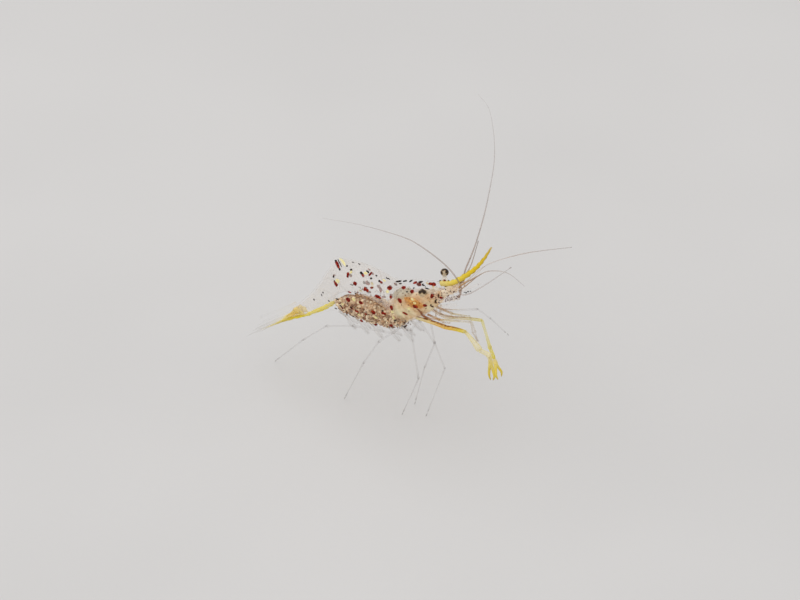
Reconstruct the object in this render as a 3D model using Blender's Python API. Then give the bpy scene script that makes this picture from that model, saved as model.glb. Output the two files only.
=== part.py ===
"""A clear humpbacked cleaner shrimp with eggs, life size, standing on five walking legs.

Lengths are in millimetres and MM turns them into Blender's metres. The animal faces +X with its left
side towards +Y. Places are measured from a point on the floor under the rear edge of the carapace,
and at the end the whole model is moved so that its box stands centred on the world origin.
"""

import math
from collections import namedtuple

import bmesh
import bpy
from mathutils import Vector

MM = 0.001
NAME = "cleaner_shrimp"

GAP = 0.08  # clear space between neighbouring pieces
THIN = 0.5  # thickness of shell rims, fins and paddles
FEELER = 0.26  # radius of the finest rods
LEG = 0.27
KNUCKLE = 0.07  # how much a joint stands out from its leg
SIDES = {"right": -1, "left": 1}

# A rib of the trunk: the top of the back and the lower rim of the side as (x, z), the half width
# there, and how far down flesh fills it, as a share of the depth.
Rib = namedtuple("Rib", "back rim half flesh")

CARAPACE_RIBS = (
    Rib((6.9, 22.25), (7.45, 20.6), 0.95, 1),
    Rib((6.3, 22.4), (7.2, 19.9), 1.45, 1),
    Rib((5.0, 22.2), (6.2, 18.8), 1.9, 1),
    Rib((3.5, 21.8), (5.0, 17.6), 2.15, 1),
    Rib((2.0, 21.25), (3.7, 16.75), 2.25, 1),
    Rib((0.9, 20.85), (2.7, 16.25), 2.2, 1),
    Rib((0.1, 20.55), (2.25, 16.05), 2.1, 1),
)
# The ribs between the six rings of the abdomen, from the carapace back.
ABDOMEN_RIBS = (
    Rib((0.0, 20.5), (2.1, 15.7), 2.05, 0.7),
    Rib((-0.8, 20.55), (1.3, 14.9), 2.15, 0.66),
    Rib((-3.7, 21.15), (-1.9, 14.2), 2.25, 0.64),
    Rib((-8.8, 20.75), (-4.3, 13.9), 2.1, 0.64),
    Rib((-11.05, 16.8), (-6.5, 13.7), 1.75, 0.64),
    Rib((-12.5, 14.45), (-8.6, 13.35), 1.35, 0.86),
    Rib((-15.1, 11.2), (-13.5, 10.2), 0.85, 1),
)
ARCH = (0.1, 0.12, 0.35, 0.15, 0.05, 0.0)  # how far each ring's back bows out between its ribs
LOBE = (0.25, 0.45, 0.4, 0.35, 0.3, 0.0)  # how far its side flap hangs below them
WIDEST = 0.5  # share of the depth at which a rib is widest
ROUND = 2.3  # power of the curve over the back: 2 is an ellipse, more is fuller at the shoulders
TUCK = 0.16  # how much of its half width the lower rim turns in
BACK_STEPS = (0.0, 0.03, 0.1, 0.22, 0.36, WIDEST)
SIDE_STEPS = (0.65, 0.82, 1.0)
EGG_BELLY = 1.03  # the clutch hangs this share of the depth, just past the flaps
EGG_ROOM = 0.14  # clear space round the clutch
# The clutch's section from its top to its belly: share of its height, and share of the width there.
EGG_SECTION = ((0, 0.88), (0.15, 1.0), (0.4, 1.0), (0.65, 0.98), (0.85, 0.8), (1, 0.35))

# The section of a fin or a scale, in half widths and half thicknesses: flat, with eased edges.
BLADE_EDGE = ((1, 0.6), (0.7, 1), (-0.7, 1), (-1, 0.6), (-1, -0.6), (-0.7, -1), (0.7, -1), (1, -0.6))
ACROSS = (0, 1, 0)  # the animal's own sideways direction

TAIL_ROOT = (-14.95, 10.95)
TAIL_PITCH = 38
TAIL_SWING = -7  # the closed fan is held a little to the right
TELSON = (6.6, 1.3)  # length and width
# Length, width, sideways turn in degrees, place beside the midline and drop below the telson.
INNER_FIN = (7.4, 1.4, 3, 0.57, 0.58)
OUTER_FIN = (8.7, 1.9, 6, 0.62, 1.16)

EYE_RADIUS = 0.63
EYE = (6.15, 2.75, 22.55)
STALK_ROOT = (7.45, 0.55, 22.2)
STALK_RADII = (0.36, 0.34, 0.46)  # at its root, halfway and under the eye

ROSTRUM_PATH = ((7.2, 22.75), (8.9, 23.45), (10.6, 25.0), (12.3, 26.9), (13.6, 28.9), (14.7, 31.1))
ROSTRUM_DEPTH = 0.7  # at its root, and ROSTRUM_TIP at its point
ROSTRUM_TIP = 0.28
TOOTH = 0.13
TEETH_ABOVE = (0.0, 0.85)  # the share of the beak's length that has teeth on top, and then below
TEETH_BELOW = (0.3, 0.85)

# Each walking leg as hip, then its joints down to the point over its foot. The last entry is the
# foot's place on the floor, or None for the leg that is held up.
LEGS = {
    "right_leg_3": (((4.6, -1.2, 16.75), (4.3, -2.5, 15.8), (5.3, -2.2, 8.2)), (1.8, -0.7)),
    "right_leg_4": (
        ((3.6, -1.15, 16.35), (2.5, -2.4, 15.45), (0.4, -4.2, 13.5), (-2.1, -4.0, 9.0)),
        (-6.6, -1.8),
    ),
    "right_leg_5": (
        (
            (2.6, -1.1, 15.7),
            (1.6, -2.5, 14.3),
            (-4.5, -2.8, 13.4),
            (-8.8, -2.6, 11.6),
            (-12.7, -2.3, 7.7),
        ),
        (-19.2, 0.4),
    ),
    "left_leg_3": (
        (
            (4.7, 1.2, 16.8),
            (6.0, 1.95, 16.8),
            (11.4, 2.4, 18.9),
            (12.5, 3.9, 16.9),
            (13.8, 6.4, 13.2),
        ),
        None,
    ),
    "left_leg_4": (
        ((3.7, 1.15, 16.35), (4.3, 2.3, 14.6), (4.7, 2.8, 10.7), (6.4, 2.6, 7.3)),
        (4.7, 0.7),
    ),
    "left_leg_5": (
        ((2.7, 1.1, 15.7), (3.4, 1.3, 14.5), (5.8, 1.0, 12.2), (3.7, 1.9, 6.9)),
        (2.0, 2.2),
    ),
}
FOOT_RISE = 0.45  # the foot turns straight down this far above the floor

FIRST_PINCERS = {
    "right": (
        (5.9, -0.95, 18.0),
        (7.8, -1.1, 17.95),
        (12.6, -1.3, 19.5),
        (13.2, -1.8, 18.3),
        (14.1, -1.9, 17.4),
    ),
    "left": (
        (6.1, 0.95, 18.1),
        (8.4, 1.05, 17.85),
        (11.1, 1.0, 18.4),
        (12.1, 0.7, 16.5),
        (12.4, 0.6, 15.3),
    ),
}
SECOND_PINCERS = {
    "right": (
        (5.1, -1.25, 17.2),
        (9.2, -1.8, 17.7),
        (12.4, -2.3, 18.5),
        (15.0, -3.0, 17.0),
        (16.4, -2.8, 16.5),
    ),
    "left": (
        (5.2, 1.2, 17.3),
        (8.3, 1.5, 16.9),
        (12.3, 2.0, 17.7),
        (13.6, 2.0, 13.7),
        (14.2, 2.0, 12.4),
    ),
}
CLAW_TIPS = {"right": (16.4, -2.2, 12.3), "left": (15.4, 1.6, 9.9)}
CLAW_GAPE = {"right": 0.15, "left": 0.5}
PALM_SHARE = 0.36  # of the claw's length
PALM = 0.42  # its radius
WRIST = 0.3  # the claw's radius where it meets the wrist, and its clear distance from it
MOUTH_LEGS = {
    "right": ((6.9, -0.4, 19.05), (6.8, -0.45, 17.5), (7.9, -0.4, 17.15), (8.9, -0.35, 17.4)),
    "left": ((7.0, 0.4, 19.15), (7.0, 0.38, 17.7), (8.8, 0.3, 18.0), (9.7, 0.3, 18.2)),
}

FEELER_STEMS = {
    "right": ((8.0, -0.5, 21.75), (10.45, -0.8, 23.75)),
    "left": ((8.0, 0.5, 21.75), (10.2, 0.8, 23.5)),
}
STEM_RADII = (0.36, 0.4)
SHORT_FEELERS = {
    "right_outer": (
        (10.7, -0.75, 24.2),
        (13.0, -1.2, 26.5),
        (15.3, -1.6, 28.6),
        (18.6, -2.5, 30.0),
        (21.6, -3.5, 29.7),
    ),
    "right_inner": (
        (11.0, -1.2, 23.2),
        (12.7, -1.7, 24.3),
        (16.2, -2.8, 28.0),
        (20.0, -4.2, 32.4),
    ),
    "left_outer": (
        (10.7, 1.0, 24.0),
        (12.6, 1.5, 26.4),
        (14.7, 2.2, 27.9),
        (18.3, 3.5, 29.6),
        (23.5, 5.0, 31.4),
    ),
    "left_inner": (
        (10.1, 0.95, 24.25),
        (11.0, 1.2, 26.3),
        (11.8, 1.6, 30.1),
    ),
}
FEELER_ROOTS = {
    "right": ((7.75, -1.25, 20.95), (10.95, -1.85, 23.1)),
    "left": ((7.75, 1.25, 20.95), (9.5, 1.9, 22.7)),
}
ROOT_RADII = (0.38, 0.38)
LONG_FEELERS = {
    "right": (
        (11.3, -2.0, 23.6),
        (11.5, -2.2, 25.4),
        (9.9, -3.0, 28.2),
        (6.6, -4.0, 30.7),
        (4.0, -4.6, 31.6),
        (-1.5, -5.5, 31.9),
        (-6.9, -6.0, 31.3),
    ),
    "left": (
        (9.6, 2.05, 23.3),
        (10.9, 3.0, 29.1),
        (11.4, 3.6, 33.1),
        (12.0, 4.2, 37.6),
        (12.2, 4.6, 41.0),
        (11.8, 5.0, 44.4),
        (10.9, 5.2, 47.7),
        (9.3, 5.2, 49.3),
    ),
}
SCALE_ROOT = (7.55, 1.6, 20.1)
SCALE_TIP = (11.4, 2.8, 22.6)
SCALE_WIDTH = 1.3

PADDLE = (2.4, 0.9)  # length and width of a swimmeret's free blade
PADDLE_PITCH = 146  # past straight down: the blades are swept forward under the eggs
PADDLE_SPREAD = 1.05
PADDLE_TURN = 8  # outwards, in degrees
PADDLE_DROP = 0.75  # its root lies this far below the rim of its ring

LOOKS = {
    "clear_shell": ((0.86, 0.85, 0.80), 0.18),
    "eggs": ((0.62, 0.55, 0.40), 0.45),
    "yellow_shell": ((0.90, 0.66, 0.05), 0.30),
    "amber_limb": ((0.62, 0.30, 0.08), 0.32),
    "clear_limb": ((0.66, 0.66, 0.64), 0.25),
    "eye": ((0.03, 0.03, 0.03), 0.12),
}


def make_collection(name):
    collection = bpy.data.collections.new(name)
    bpy.context.scene.collection.children.link(collection)
    return collection


def clear_scene():
    for thing in list(bpy.data.objects):
        bpy.data.objects.remove(thing)


def make_finish(name, look):
    """A Principled material of its own for one piece."""
    colour, roughness = LOOKS[look]
    finish = bpy.data.materials.new(name + "_" + look)
    finish.use_nodes = True
    shader = finish.node_tree.nodes["Principled BSDF"]
    shader.inputs["Base Color"].default_value = (*colour, 1)
    shader.inputs["Roughness"].default_value = roughness
    shader.inputs["Metallic"].default_value = 0
    finish.diffuse_color = (*colour, 1)
    return finish


def place(name, data, look):
    """Puts mesh or curve data in the model as one named piece."""
    piece = bpy.data.objects.new(name, data)
    data.materials.append(make_finish(name, look))
    MODEL.objects.link(piece)
    piece.parent = STAND_POINT
    return piece


def loft(name, rings, look):
    """Skins closed rings of equal count and caps both ends."""
    shape = bmesh.new()
    rows = [[shape.verts.new(Vector(point) * MM) for point in ring] for ring in rings]
    count = len(rows[0])
    for row, following in zip(rows, rows[1:]):
        for i in range(count):
            j = (i + 1) % count
            shape.faces.new((row[i], row[j], following[j], following[i]))
    shape.faces.new(rows[0])
    shape.faces.new(rows[-1])
    bmesh.ops.recalc_face_normals(shape, faces=shape.faces)
    bmesh.ops.triangulate(shape, faces=[face for face in shape.faces if len(face.verts) > 4])
    mesh = bpy.data.meshes.new(name)
    shape.to_mesh(mesh)
    shape.free()
    return place(name, mesh, look)


def rod(name, points, radii, look, sides=2):
    """A tapered tube through the points, as a bevelled curve whose point radius is in millimetres."""
    curve = bpy.data.curves.new(name, "CURVE")
    curve.dimensions = "3D"
    curve.bevel_depth = MM
    curve.bevel_resolution = sides
    curve.use_fill_caps = True
    spline = curve.splines.new("POLY")
    spline.points.add(len(points) - 1)
    for spot, point, radius in zip(spline.points, points, radii):
        spot.co = (*(Vector(point) * MM), 1)
        spot.radius = radius
    return place(name, curve, look)


def smooth_path(points, steps):
    """Points along one smooth curve through the given ones, steps to each span."""
    known = [Vector(point) for point in points]
    known = [2 * known[0] - known[1], *known, 2 * known[-1] - known[-2]]
    path = []
    for a, b, c, d in zip(known, known[1:], known[2:], known[3:]):
        for step in range(steps):
            t = step / steps
            square = (2 * a - 5 * b + 4 * c - d) * t**2
            cube = (3 * b - a - 3 * c + d) * t**3
            path.append(0.5 * (2 * b + (c - a) * t + square + cube))
    return [*path, known[-2]]


def mix(a, b, t):
    """A value or a tuple of values, t of the way from a to b."""
    if isinstance(a, tuple):
        return tuple(mix(p, q, t) for p, q in zip(a, b))
    return a + (b - a) * t


def half_width(rib, depth):
    """Half width of a rib at a share of its depth."""
    if depth < WIDEST:
        return rib.half * (1 - (1 - depth / WIDEST) ** ROUND) ** (1 / ROUND)
    below = (depth - WIDEST) / (1 - WIDEST)
    return rib.half * (1 - TUCK * below**2)


def on_rib(rib, depth, across):
    x, z = mix(rib.back, rib.rim, depth)
    return (x, across, z)


def ring_of_flesh(rib):
    """The closed outline of a rib that is flesh right across."""
    steps = BACK_STEPS + SIDE_STEPS
    left = [on_rib(rib, s, half_width(rib, s)) for s in steps[1:]]
    right = [on_rib(rib, s, -half_width(rib, s)) for s in reversed(steps[1:])]
    return [on_rib(rib, 0, 0), *left, *right]


def ring_with_flaps(rib):
    """A rib whose shell hangs on both sides below the flesh, round the brood space."""
    steps = BACK_STEPS + SIDE_STEPS
    outer = [on_rib(rib, s, half_width(rib, s)) for s in steps[1:]]
    hollow = (1.0, mix(rib.flesh, 1.0, 0.45), rib.flesh)
    inner = [on_rib(rib, s, half_width(rib, s) - THIN) for s in hollow]
    left = outer + inner
    right = [(x, -y, z) for x, y, z in reversed(left)]
    return [on_rib(rib, 0, 0), *left, *right]


def ring_of_eggs(rib):
    """The brood space between the flaps, with a round belly below."""
    top = rib.flesh + EGG_ROOM / 4
    left = []
    for height, share in EGG_SECTION:
        depth = mix(top, EGG_BELLY, height)
        room = half_width(rib, min(depth, 1)) - THIN - EGG_ROOM
        left.append(on_rib(rib, depth, room * share))
    right = [(x, -y, z) for x, y, z in reversed(left)]
    return left + right


def between(front, rear, t, arch=0, lobe=0):
    """A rib part of the way between two, bowed out at the back and at the rim."""
    rib = Rib(*(mix(a, b, t) for a, b in zip(front, rear)))
    bow = math.sin(math.pi * t)
    down = Vector((rib.rim[0] - rib.back[0], rib.rim[1] - rib.back[1])).normalized()
    back = tuple(Vector(rib.back) - down * arch * bow)
    rim = tuple(Vector(rib.rim) + down * lobe * bow)
    return rib._replace(back=back, rim=rim)


def make_carapace():
    loft("carapace", [ring_of_flesh(rib) for rib in CARAPACE_RIBS], "clear_shell")


def make_abdomen():
    """Six rings, each a short loft between two ribs with a thin joint line on either side."""
    for number, (front, rear) in enumerate(zip(ABDOMEN_RIBS, ABDOMEN_RIBS[1:]), start=1):
        back_length = (Vector(front.back) - Vector(rear.back)).length
        rim_length = (Vector(front.rim) - Vector(rear.rim)).length
        edge = GAP / (back_length + rim_length)
        shares = [mix(edge, 1 - edge, step / 4) for step in range(5)]
        ribs = [between(front, rear, t, ARCH[number - 1], LOBE[number - 1]) for t in shares]
        ring = ring_of_flesh if number == 6 else ring_with_flaps
        loft(f"abdomen_ring_{number}", [ring(rib) for rib in ribs], "clear_shell")


def make_eggs():
    """One clutch that runs under the first five rings, closed to a blunt end at both ends."""
    ribs = []
    for front, rear, arch, lobe in zip(ABDOMEN_RIBS[:5], ABDOMEN_RIBS[1:], ARCH, LOBE):
        ribs += [between(front, rear, t, arch, lobe) for t in (0.1, 0.5, 0.9)]
    loft("egg_clutch", [ring_of_eggs(rib) for rib in ribs[:-1]], "eggs")


def blade(name, root, along, across, length, width, look):
    """A thin leaf that is narrow at its root and round at its tip."""
    along = Vector(along).normalized()
    across = (Vector(across) - Vector(across).dot(along) * along).normalized()
    through = along.cross(across)
    rings = []
    for t in (0, 0.12, 0.3, 0.5, 0.7, 0.84, 0.94, 1):
        swell = min(1, 0.5 + 1.4 * t)
        tip = math.sqrt(max(0, 1 - (max(0, t - 0.55) / 0.5) ** 2))
        half = max(width / 2 * swell * tip, THIN / 2)
        middle = Vector(root) + along * length * t
        rings.append([middle + across * half * a + through * THIN / 2 * b for a, b in BLADE_EDGE])
    return loft(name, rings, look)


def direction(pitch, turn=0):
    """Unit vector that points back, down by pitch and out to the left by turn, in degrees."""
    pitch, turn = math.radians(pitch), math.radians(turn)
    return Vector((-math.cos(pitch) * math.cos(turn), math.sin(turn), -math.sin(pitch) * math.cos(turn)))


def make_tail_fan():
    """The telson on top, a narrow fin under it on each side and a broad fin under that."""
    x, z = TAIL_ROOT
    below = Vector((math.sin(math.radians(TAIL_PITCH)), 0, -math.cos(math.radians(TAIL_PITCH))))
    top = Vector((x, 0, z)) - below * INNER_FIN[-1]
    blade("telson", top, direction(TAIL_PITCH, TAIL_SWING), ACROSS, *TELSON, "clear_shell")
    for side, sign in SIDES.items():
        for kind, (length, width, turn, beside, drop) in (("inner", INNER_FIN), ("outer", OUTER_FIN)):
            root = top + below * drop + Vector((0, sign * beside, 0))
            along = direction(TAIL_PITCH, TAIL_SWING + sign * turn)
            blade(f"{side}_tail_fin_{kind}", root, along, ACROSS, length, width, "yellow_shell")


def make_eyes():
    for side, sign in SIDES.items():
        centre = Vector((EYE[0], sign * EYE[1], EYE[2]))
        root = Vector((STALK_ROOT[0], sign * STALK_ROOT[1], STALK_ROOT[2]))
        reach = (centre - root).normalized()
        end = centre - reach * (EYE_RADIUS + GAP)
        rod(f"{side}_eye_stalk", (root, root.lerp(end, 0.5), end), STALK_RADII, "clear_shell")
        ball = bmesh.new()
        bmesh.ops.create_uvsphere(ball, u_segments=20, v_segments=12, radius=EYE_RADIUS * MM)
        bmesh.ops.translate(ball, verts=ball.verts, vec=centre * MM)
        mesh = bpy.data.meshes.new(f"{side}_eye")
        ball.to_mesh(mesh)
        ball.free()
        place(f"{side}_eye", mesh, "eye")


def make_rostrum():
    """The toothed beak: a flat upcurved outline, extruded to its thickness and stood upright."""
    middle = smooth_path([(x, z, 0) for x, z in ROSTRUM_PATH], 5)
    upper, lower = [], []
    for i, point in enumerate(middle):
        ahead = middle[min(i + 1, len(middle) - 1)]
        behind = middle[max(i - 1, 0)]
        run = (ahead - behind).normalized()
        up = Vector((-run.y, run.x, 0))
        t = i / (len(middle) - 1)
        half = mix(ROSTRUM_DEPTH, ROSTRUM_TIP, t**1.4) / 2
        tooth_above = TOOTH if i % 2 and TEETH_ABOVE[0] < t < TEETH_ABOVE[1] else 0
        tooth_below = TOOTH if i % 2 and TEETH_BELOW[0] < t < TEETH_BELOW[1] else 0
        upper.append(point + up * (half + tooth_above))
        lower.append(point - up * (half + tooth_below))
    curve = bpy.data.curves.new("rostrum", "CURVE")
    curve.dimensions = "2D"
    curve.fill_mode = "BOTH"
    curve.extrude = THIN / 2 * MM
    outline = upper + lower[::-1]
    spline = curve.splines.new("POLY")
    spline.points.add(len(outline) - 1)
    for spot, point in zip(spline.points, outline):
        spot.co = (*(point * MM), 1)
    spline.use_cyclic_u = True
    beak = place("rostrum", curve, "yellow_shell")
    beak.rotation_euler.x = math.pi / 2


def limb(name, joints, thickness, look, foot=None):
    """A rod with a knuckle at each inner joint. With a foot, it turns straight down to a flat there."""
    joints = [Vector(joint) for joint in joints]
    if foot:
        joints.append(Vector((*foot, FOOT_RISE)))
    points, radii = [joints[0]], [thickness]
    for before, joint, after in zip(joints, joints[1:], joints[2:]):
        reach = 2 * thickness
        points += [joint + (before - joint).normalized() * reach, joint]
        points += [joint + (after - joint).normalized() * reach]
        radii += [thickness, thickness + KNUCKLE, thickness]
    points.append(joints[-1])
    if foot:
        points.append(Vector((*foot, 0)))
    radii += [thickness] * (len(points) - len(radii))
    return rod(name, points, radii, look)


def make_walking_legs():
    for name, (joints, foot) in LEGS.items():
        limb(name, joints, LEG, "clear_limb", foot)


def make_claw(side):
    """A palm that runs on into its fixed finger, and the moving finger beside it."""
    wrist = Vector(SECOND_PINCERS[side][-1])
    before = Vector(SECOND_PINCERS[side][-2])
    tip = Vector(CLAW_TIPS[side])
    run = (tip - wrist).normalized()
    apart = (wrist - before) - (wrist - before).dot(run) * run
    apart.normalize()
    length = (tip - wrist).length
    palm = length * PALM_SHARE
    beside = FEELER + GAP / 2
    gape = CLAW_GAPE[side]

    def spot(reach, off):
        return wrist + run * reach + apart * off

    hand = (spot(WRIST + GAP, 0), spot(palm * 0.55, 0), spot(palm, 0))
    fixed_finger = (spot(palm + WRIST, -beside), spot(length, -beside - gape))
    rod(f"{side}_claw", hand + fixed_finger, (WRIST, PALM, PALM, FEELER, FEELER), "yellow_shell")
    knuckle = spot(palm + WRIST + GAP, beside)
    moving_finger = (knuckle, spot(length * 0.8, beside + gape), spot(length, beside + gape * 0.8))
    rod(f"{side}_claw_finger", moving_finger, (FEELER, FEELER, FEELER), "yellow_shell")


def make_pincers():
    for side in SIDES:
        limb(f"{side}_mouth_leg", MOUTH_LEGS[side], FEELER, "amber_limb")
        limb(f"{side}_pincer_leg_1", FIRST_PINCERS[side], FEELER, "clear_limb")
        limb(f"{side}_pincer_leg_2", SECOND_PINCERS[side], LEG, "amber_limb")
        make_claw(side)


def feeler(name, path):
    rod(name, path, [FEELER] * len(path), "clear_limb", sides=1)


def make_feelers():
    for side, sign in SIDES.items():
        rod(f"{side}_feeler_stem", FEELER_STEMS[side], STEM_RADII, "clear_shell")
        rod(f"{side}_feeler_root", FEELER_ROOTS[side], ROOT_RADII, "clear_shell")
        root = Vector((SCALE_ROOT[0], sign * SCALE_ROOT[1], SCALE_ROOT[2]))
        reach = Vector((SCALE_TIP[0], sign * SCALE_TIP[1], SCALE_TIP[2])) - root
        size = (reach.length, SCALE_WIDTH)
        blade(f"{side}_feeler_scale", root, reach, ACROSS, *size, "clear_shell")
        path = smooth_path(LONG_FEELERS[side], 3)
        half = len(path) // 2
        parting = (path[half + 1] - path[half]).normalized() * GAP
        feeler(f"{side}_long_feeler_1", path[: half + 1])
        feeler(f"{side}_long_feeler_2", [path[half] + parting, *path[half + 1 :]])
    for which, points in SHORT_FEELERS.items():
        feeler(f"{which}_short_feeler", smooth_path(points, 3))


def make_swimmerets():
    """A free blade on each side under each of the five rings that carry the eggs."""
    for number, (front, rear) in enumerate(zip(ABDOMEN_RIBS[:5], ABDOMEN_RIBS[1:6]), start=1):
        rib = between(front, rear, 0.5)
        down = (Vector(rib.rim) - Vector(rib.back)).normalized()
        x, z = Vector(rib.rim) + down * PADDLE_DROP
        for side, sign in SIDES.items():
            root = (x, sign * PADDLE_SPREAD, z)
            along = direction(PADDLE_PITCH, sign * PADDLE_TURN)
            blade(f"{side}_swimmeret_{number}", root, along, ACROSS, *PADDLE, "clear_shell")


def centre_model():
    """Moves the stand point so that the model's box is centred over the world origin."""
    bpy.context.view_layer.update()
    pieces = [piece for piece in MODEL.objects if piece != STAND_POINT]
    corners = [piece.matrix_world @ Vector(corner) for piece in pieces for corner in piece.bound_box]
    for axis in (0, 1):
        values = [corner[axis] for corner in corners]
        STAND_POINT.location[axis] = -(min(values) + max(values)) / 2


clear_scene()
MODEL = make_collection(NAME)
STAND_POINT = bpy.data.objects.new("stand_point", None)
MODEL.objects.link(STAND_POINT)
make_carapace()
make_abdomen()
make_eggs()
make_tail_fan()
make_eyes()
make_rostrum()
make_walking_legs()
make_pincers()
make_feelers()
make_swimmerets()
centre_model()
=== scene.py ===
# %% [markdown]
# # Dressing a glass-clear cleaner shrimp
#
# A museum model of a small, nearly invisible shrimp. What the eye finds is not its shell. It finds red
# and black colour cells, a yellow beak, yellow pincers and tail, and the brown eggs that she carries. The
# CAD solids already stand in the right places. Here a finer piece, with a finish, takes the place of each,
# and nothing moves.

# %% Load the frame
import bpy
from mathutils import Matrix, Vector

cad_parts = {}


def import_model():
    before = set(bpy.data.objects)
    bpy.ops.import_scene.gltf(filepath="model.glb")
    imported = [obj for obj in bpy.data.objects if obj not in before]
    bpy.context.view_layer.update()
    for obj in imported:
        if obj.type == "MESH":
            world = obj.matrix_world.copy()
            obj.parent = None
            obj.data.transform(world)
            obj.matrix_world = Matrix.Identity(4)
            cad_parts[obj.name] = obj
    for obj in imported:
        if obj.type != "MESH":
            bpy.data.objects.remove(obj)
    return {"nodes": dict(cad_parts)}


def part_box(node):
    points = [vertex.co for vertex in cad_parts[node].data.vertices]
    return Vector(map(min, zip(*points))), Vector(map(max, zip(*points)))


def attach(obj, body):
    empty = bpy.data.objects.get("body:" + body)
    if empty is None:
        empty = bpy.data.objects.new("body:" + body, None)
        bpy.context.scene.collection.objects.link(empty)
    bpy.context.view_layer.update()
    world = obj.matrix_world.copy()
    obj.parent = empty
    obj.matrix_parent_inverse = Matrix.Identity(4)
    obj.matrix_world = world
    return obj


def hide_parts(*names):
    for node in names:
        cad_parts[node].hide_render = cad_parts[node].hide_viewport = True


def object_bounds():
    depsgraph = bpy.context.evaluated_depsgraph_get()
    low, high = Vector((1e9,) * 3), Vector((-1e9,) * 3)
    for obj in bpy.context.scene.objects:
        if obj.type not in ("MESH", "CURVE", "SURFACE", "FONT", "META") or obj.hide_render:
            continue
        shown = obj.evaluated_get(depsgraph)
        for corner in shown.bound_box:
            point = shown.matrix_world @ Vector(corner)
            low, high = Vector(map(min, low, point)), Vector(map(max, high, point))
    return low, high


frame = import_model()
cad_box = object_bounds()
print("CAD nodes:", len(frame["nodes"]))

# %% [markdown]
# ## Working in the animal's own millimetres
#
# Blender works in metres, and a shrimp 40 mm long is easier to think about in millimetres: x runs
# forward, y to its left, z up from the floor. One named point that the CAD frame also knows, the right
# eye's centre, ties the two together, so every place below is where the solids say.

# %% The animal's coordinates
import itertools
import math
import random
from collections import namedtuple

import bmesh
import bpy
from mathutils import Quaternion, Vector
from mathutils.bvhtree import BVHTree
from mathutils.noise import noise

MM = 0.001
EYE = Vector((6.15, 2.75, 22.55))
SIDES = {"right": -1, "left": 1}


def mirrored(point, sign):
    """The point on the side of the body that sign names, from its place on the left side."""
    return Vector((point[0], sign * point[1], point[2]))


low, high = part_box("right_eye")
ZERO = (low + high) / 2 - mirrored(EYE, SIDES["right"]) * MM


def world(point):
    """The place in the scene, in metres, of a point in the animal's millimetres."""
    return ZERO + Vector(point) * MM


print("zero point in the frame, mm:", [round(value / MM, 2) for value in ZERO])

# %% [markdown]
# ## Camera
#
# The animal is small in the view, so the camera stands well back with a long lens, above and in front of
# its right side.

# %% Camera
LOOK_AT = Vector((1.5, -0.7, 18.5))
AZIMUTH, ELEVATION = math.radians(32), math.radians(35)
DISTANCE, LENS, CLIP_START = 450, 155.9, 0.01

towards_viewer = Vector((
    math.sin(AZIMUTH) * math.cos(ELEVATION),
    -math.cos(AZIMUTH) * math.cos(ELEVATION),
    math.sin(ELEVATION),
))
camera = bpy.data.objects.new("camera", bpy.data.cameras.new("camera"))
camera.data.lens = LENS
camera.data.clip_start = CLIP_START
camera.location = world(LOOK_AT + towards_viewer * DISTANCE)
camera.rotation_euler = towards_viewer.to_track_quat("Z", "Y").to_euler()
bpy.context.scene.collection.objects.link(camera)
bpy.context.scene.camera = camera
print("camera at, m:", [round(value, 3) for value in camera.location])

# %% [markdown]
# ## Finishes from patterns
#
# A finish here is a small tree of shader nodes that mixes cloudy noise, the angle at which the surface is
# seen, and numbers painted on the piece itself. With these helpers such a tree takes a few lines that
# read like sums.

# %% Nodes by name
def put(node, key, value):
    """Sets one input of a node from a number, a colour or another node's socket."""
    if isinstance(value, bpy.types.NodeSocket):
        node.id_data.links.new(value, node.inputs[key])
    else:
        node.inputs[key].default_value = (*value, 1) if isinstance(value, tuple) else value


def add(tree, kind, inputs=None, **settings):
    """One shader node with its settings and inputs."""
    made = tree.nodes.new("ShaderNode" + kind)
    for key, value in settings.items():
        setattr(made, key, value)
    for key, value in (inputs or {}).items():
        put(made, key, value)
    return made


def maths(tree, operation, *values, clamp=False):
    """One calculation in the shader, over numbers and sockets."""
    inputs = dict(enumerate(values))
    return add(tree, "Math", inputs, operation=operation, use_clamp=clamp).outputs[0]


def times(tree, a, b):
    """The product of two numbers or sockets."""
    return maths(tree, "MULTIPLY", a, b)


def plus(tree, a, b, clamp=False):
    """The sum of two numbers or sockets, held between 0 and 1 if clamp is set."""
    return maths(tree, "ADD", a, b, clamp=clamp)


def ramp(tree, share, *stops):
    """A colour or grey that follows share smoothly through (position, value) stops."""
    made = add(tree, "ValToRGB", {"Fac": share})
    scale = made.color_ramp
    scale.interpolation = "EASE"
    while len(scale.elements) < len(stops):
        scale.elements.new(0.5)
    for element, (position, value) in zip(scale.elements, stops):
        element.position = position
        element.color = (*value, 1) if isinstance(value, tuple) else (value, value, value, 1)
    return made.outputs["Color"]


def blend(tree, share, first, second):
    """One colour turning into another as share goes from 0 to 1."""
    return add(tree, "Mix", {0: share, 6: first, 7: second}, data_type="RGBA").outputs[2]


print("node helpers ready")

# %% Patterns, relief and a blank finish
def own_place(tree):
    """The place on the piece itself, in metres."""
    return add(tree, "TexCoord").outputs["Object"]


def grain(tree, size, detail=2.0):
    """Cloudy noise with patches of about size millimetres."""
    inputs = {"Vector": own_place(tree), "Scale": 1 / (size * MM), "Detail": detail}
    return add(tree, "TexNoise", inputs).outputs["Fac"]


def painted(tree, name):
    """A number that the mesh carries at each of its points."""
    return add(tree, "Attribute", attribute_name=name).outputs["Fac"]


def facing(tree, softness):
    """0 where the surface faces the eye and 1 where it turns away."""
    return add(tree, "LayerWeight", {"Blend": softness}).outputs["Facing"]


def dress(shader, **inputs):
    """Sets the shader's inputs. An input's name has _ for each space."""
    for key, value in inputs.items():
        put(shader, key.replace("_", " "), value)


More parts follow.
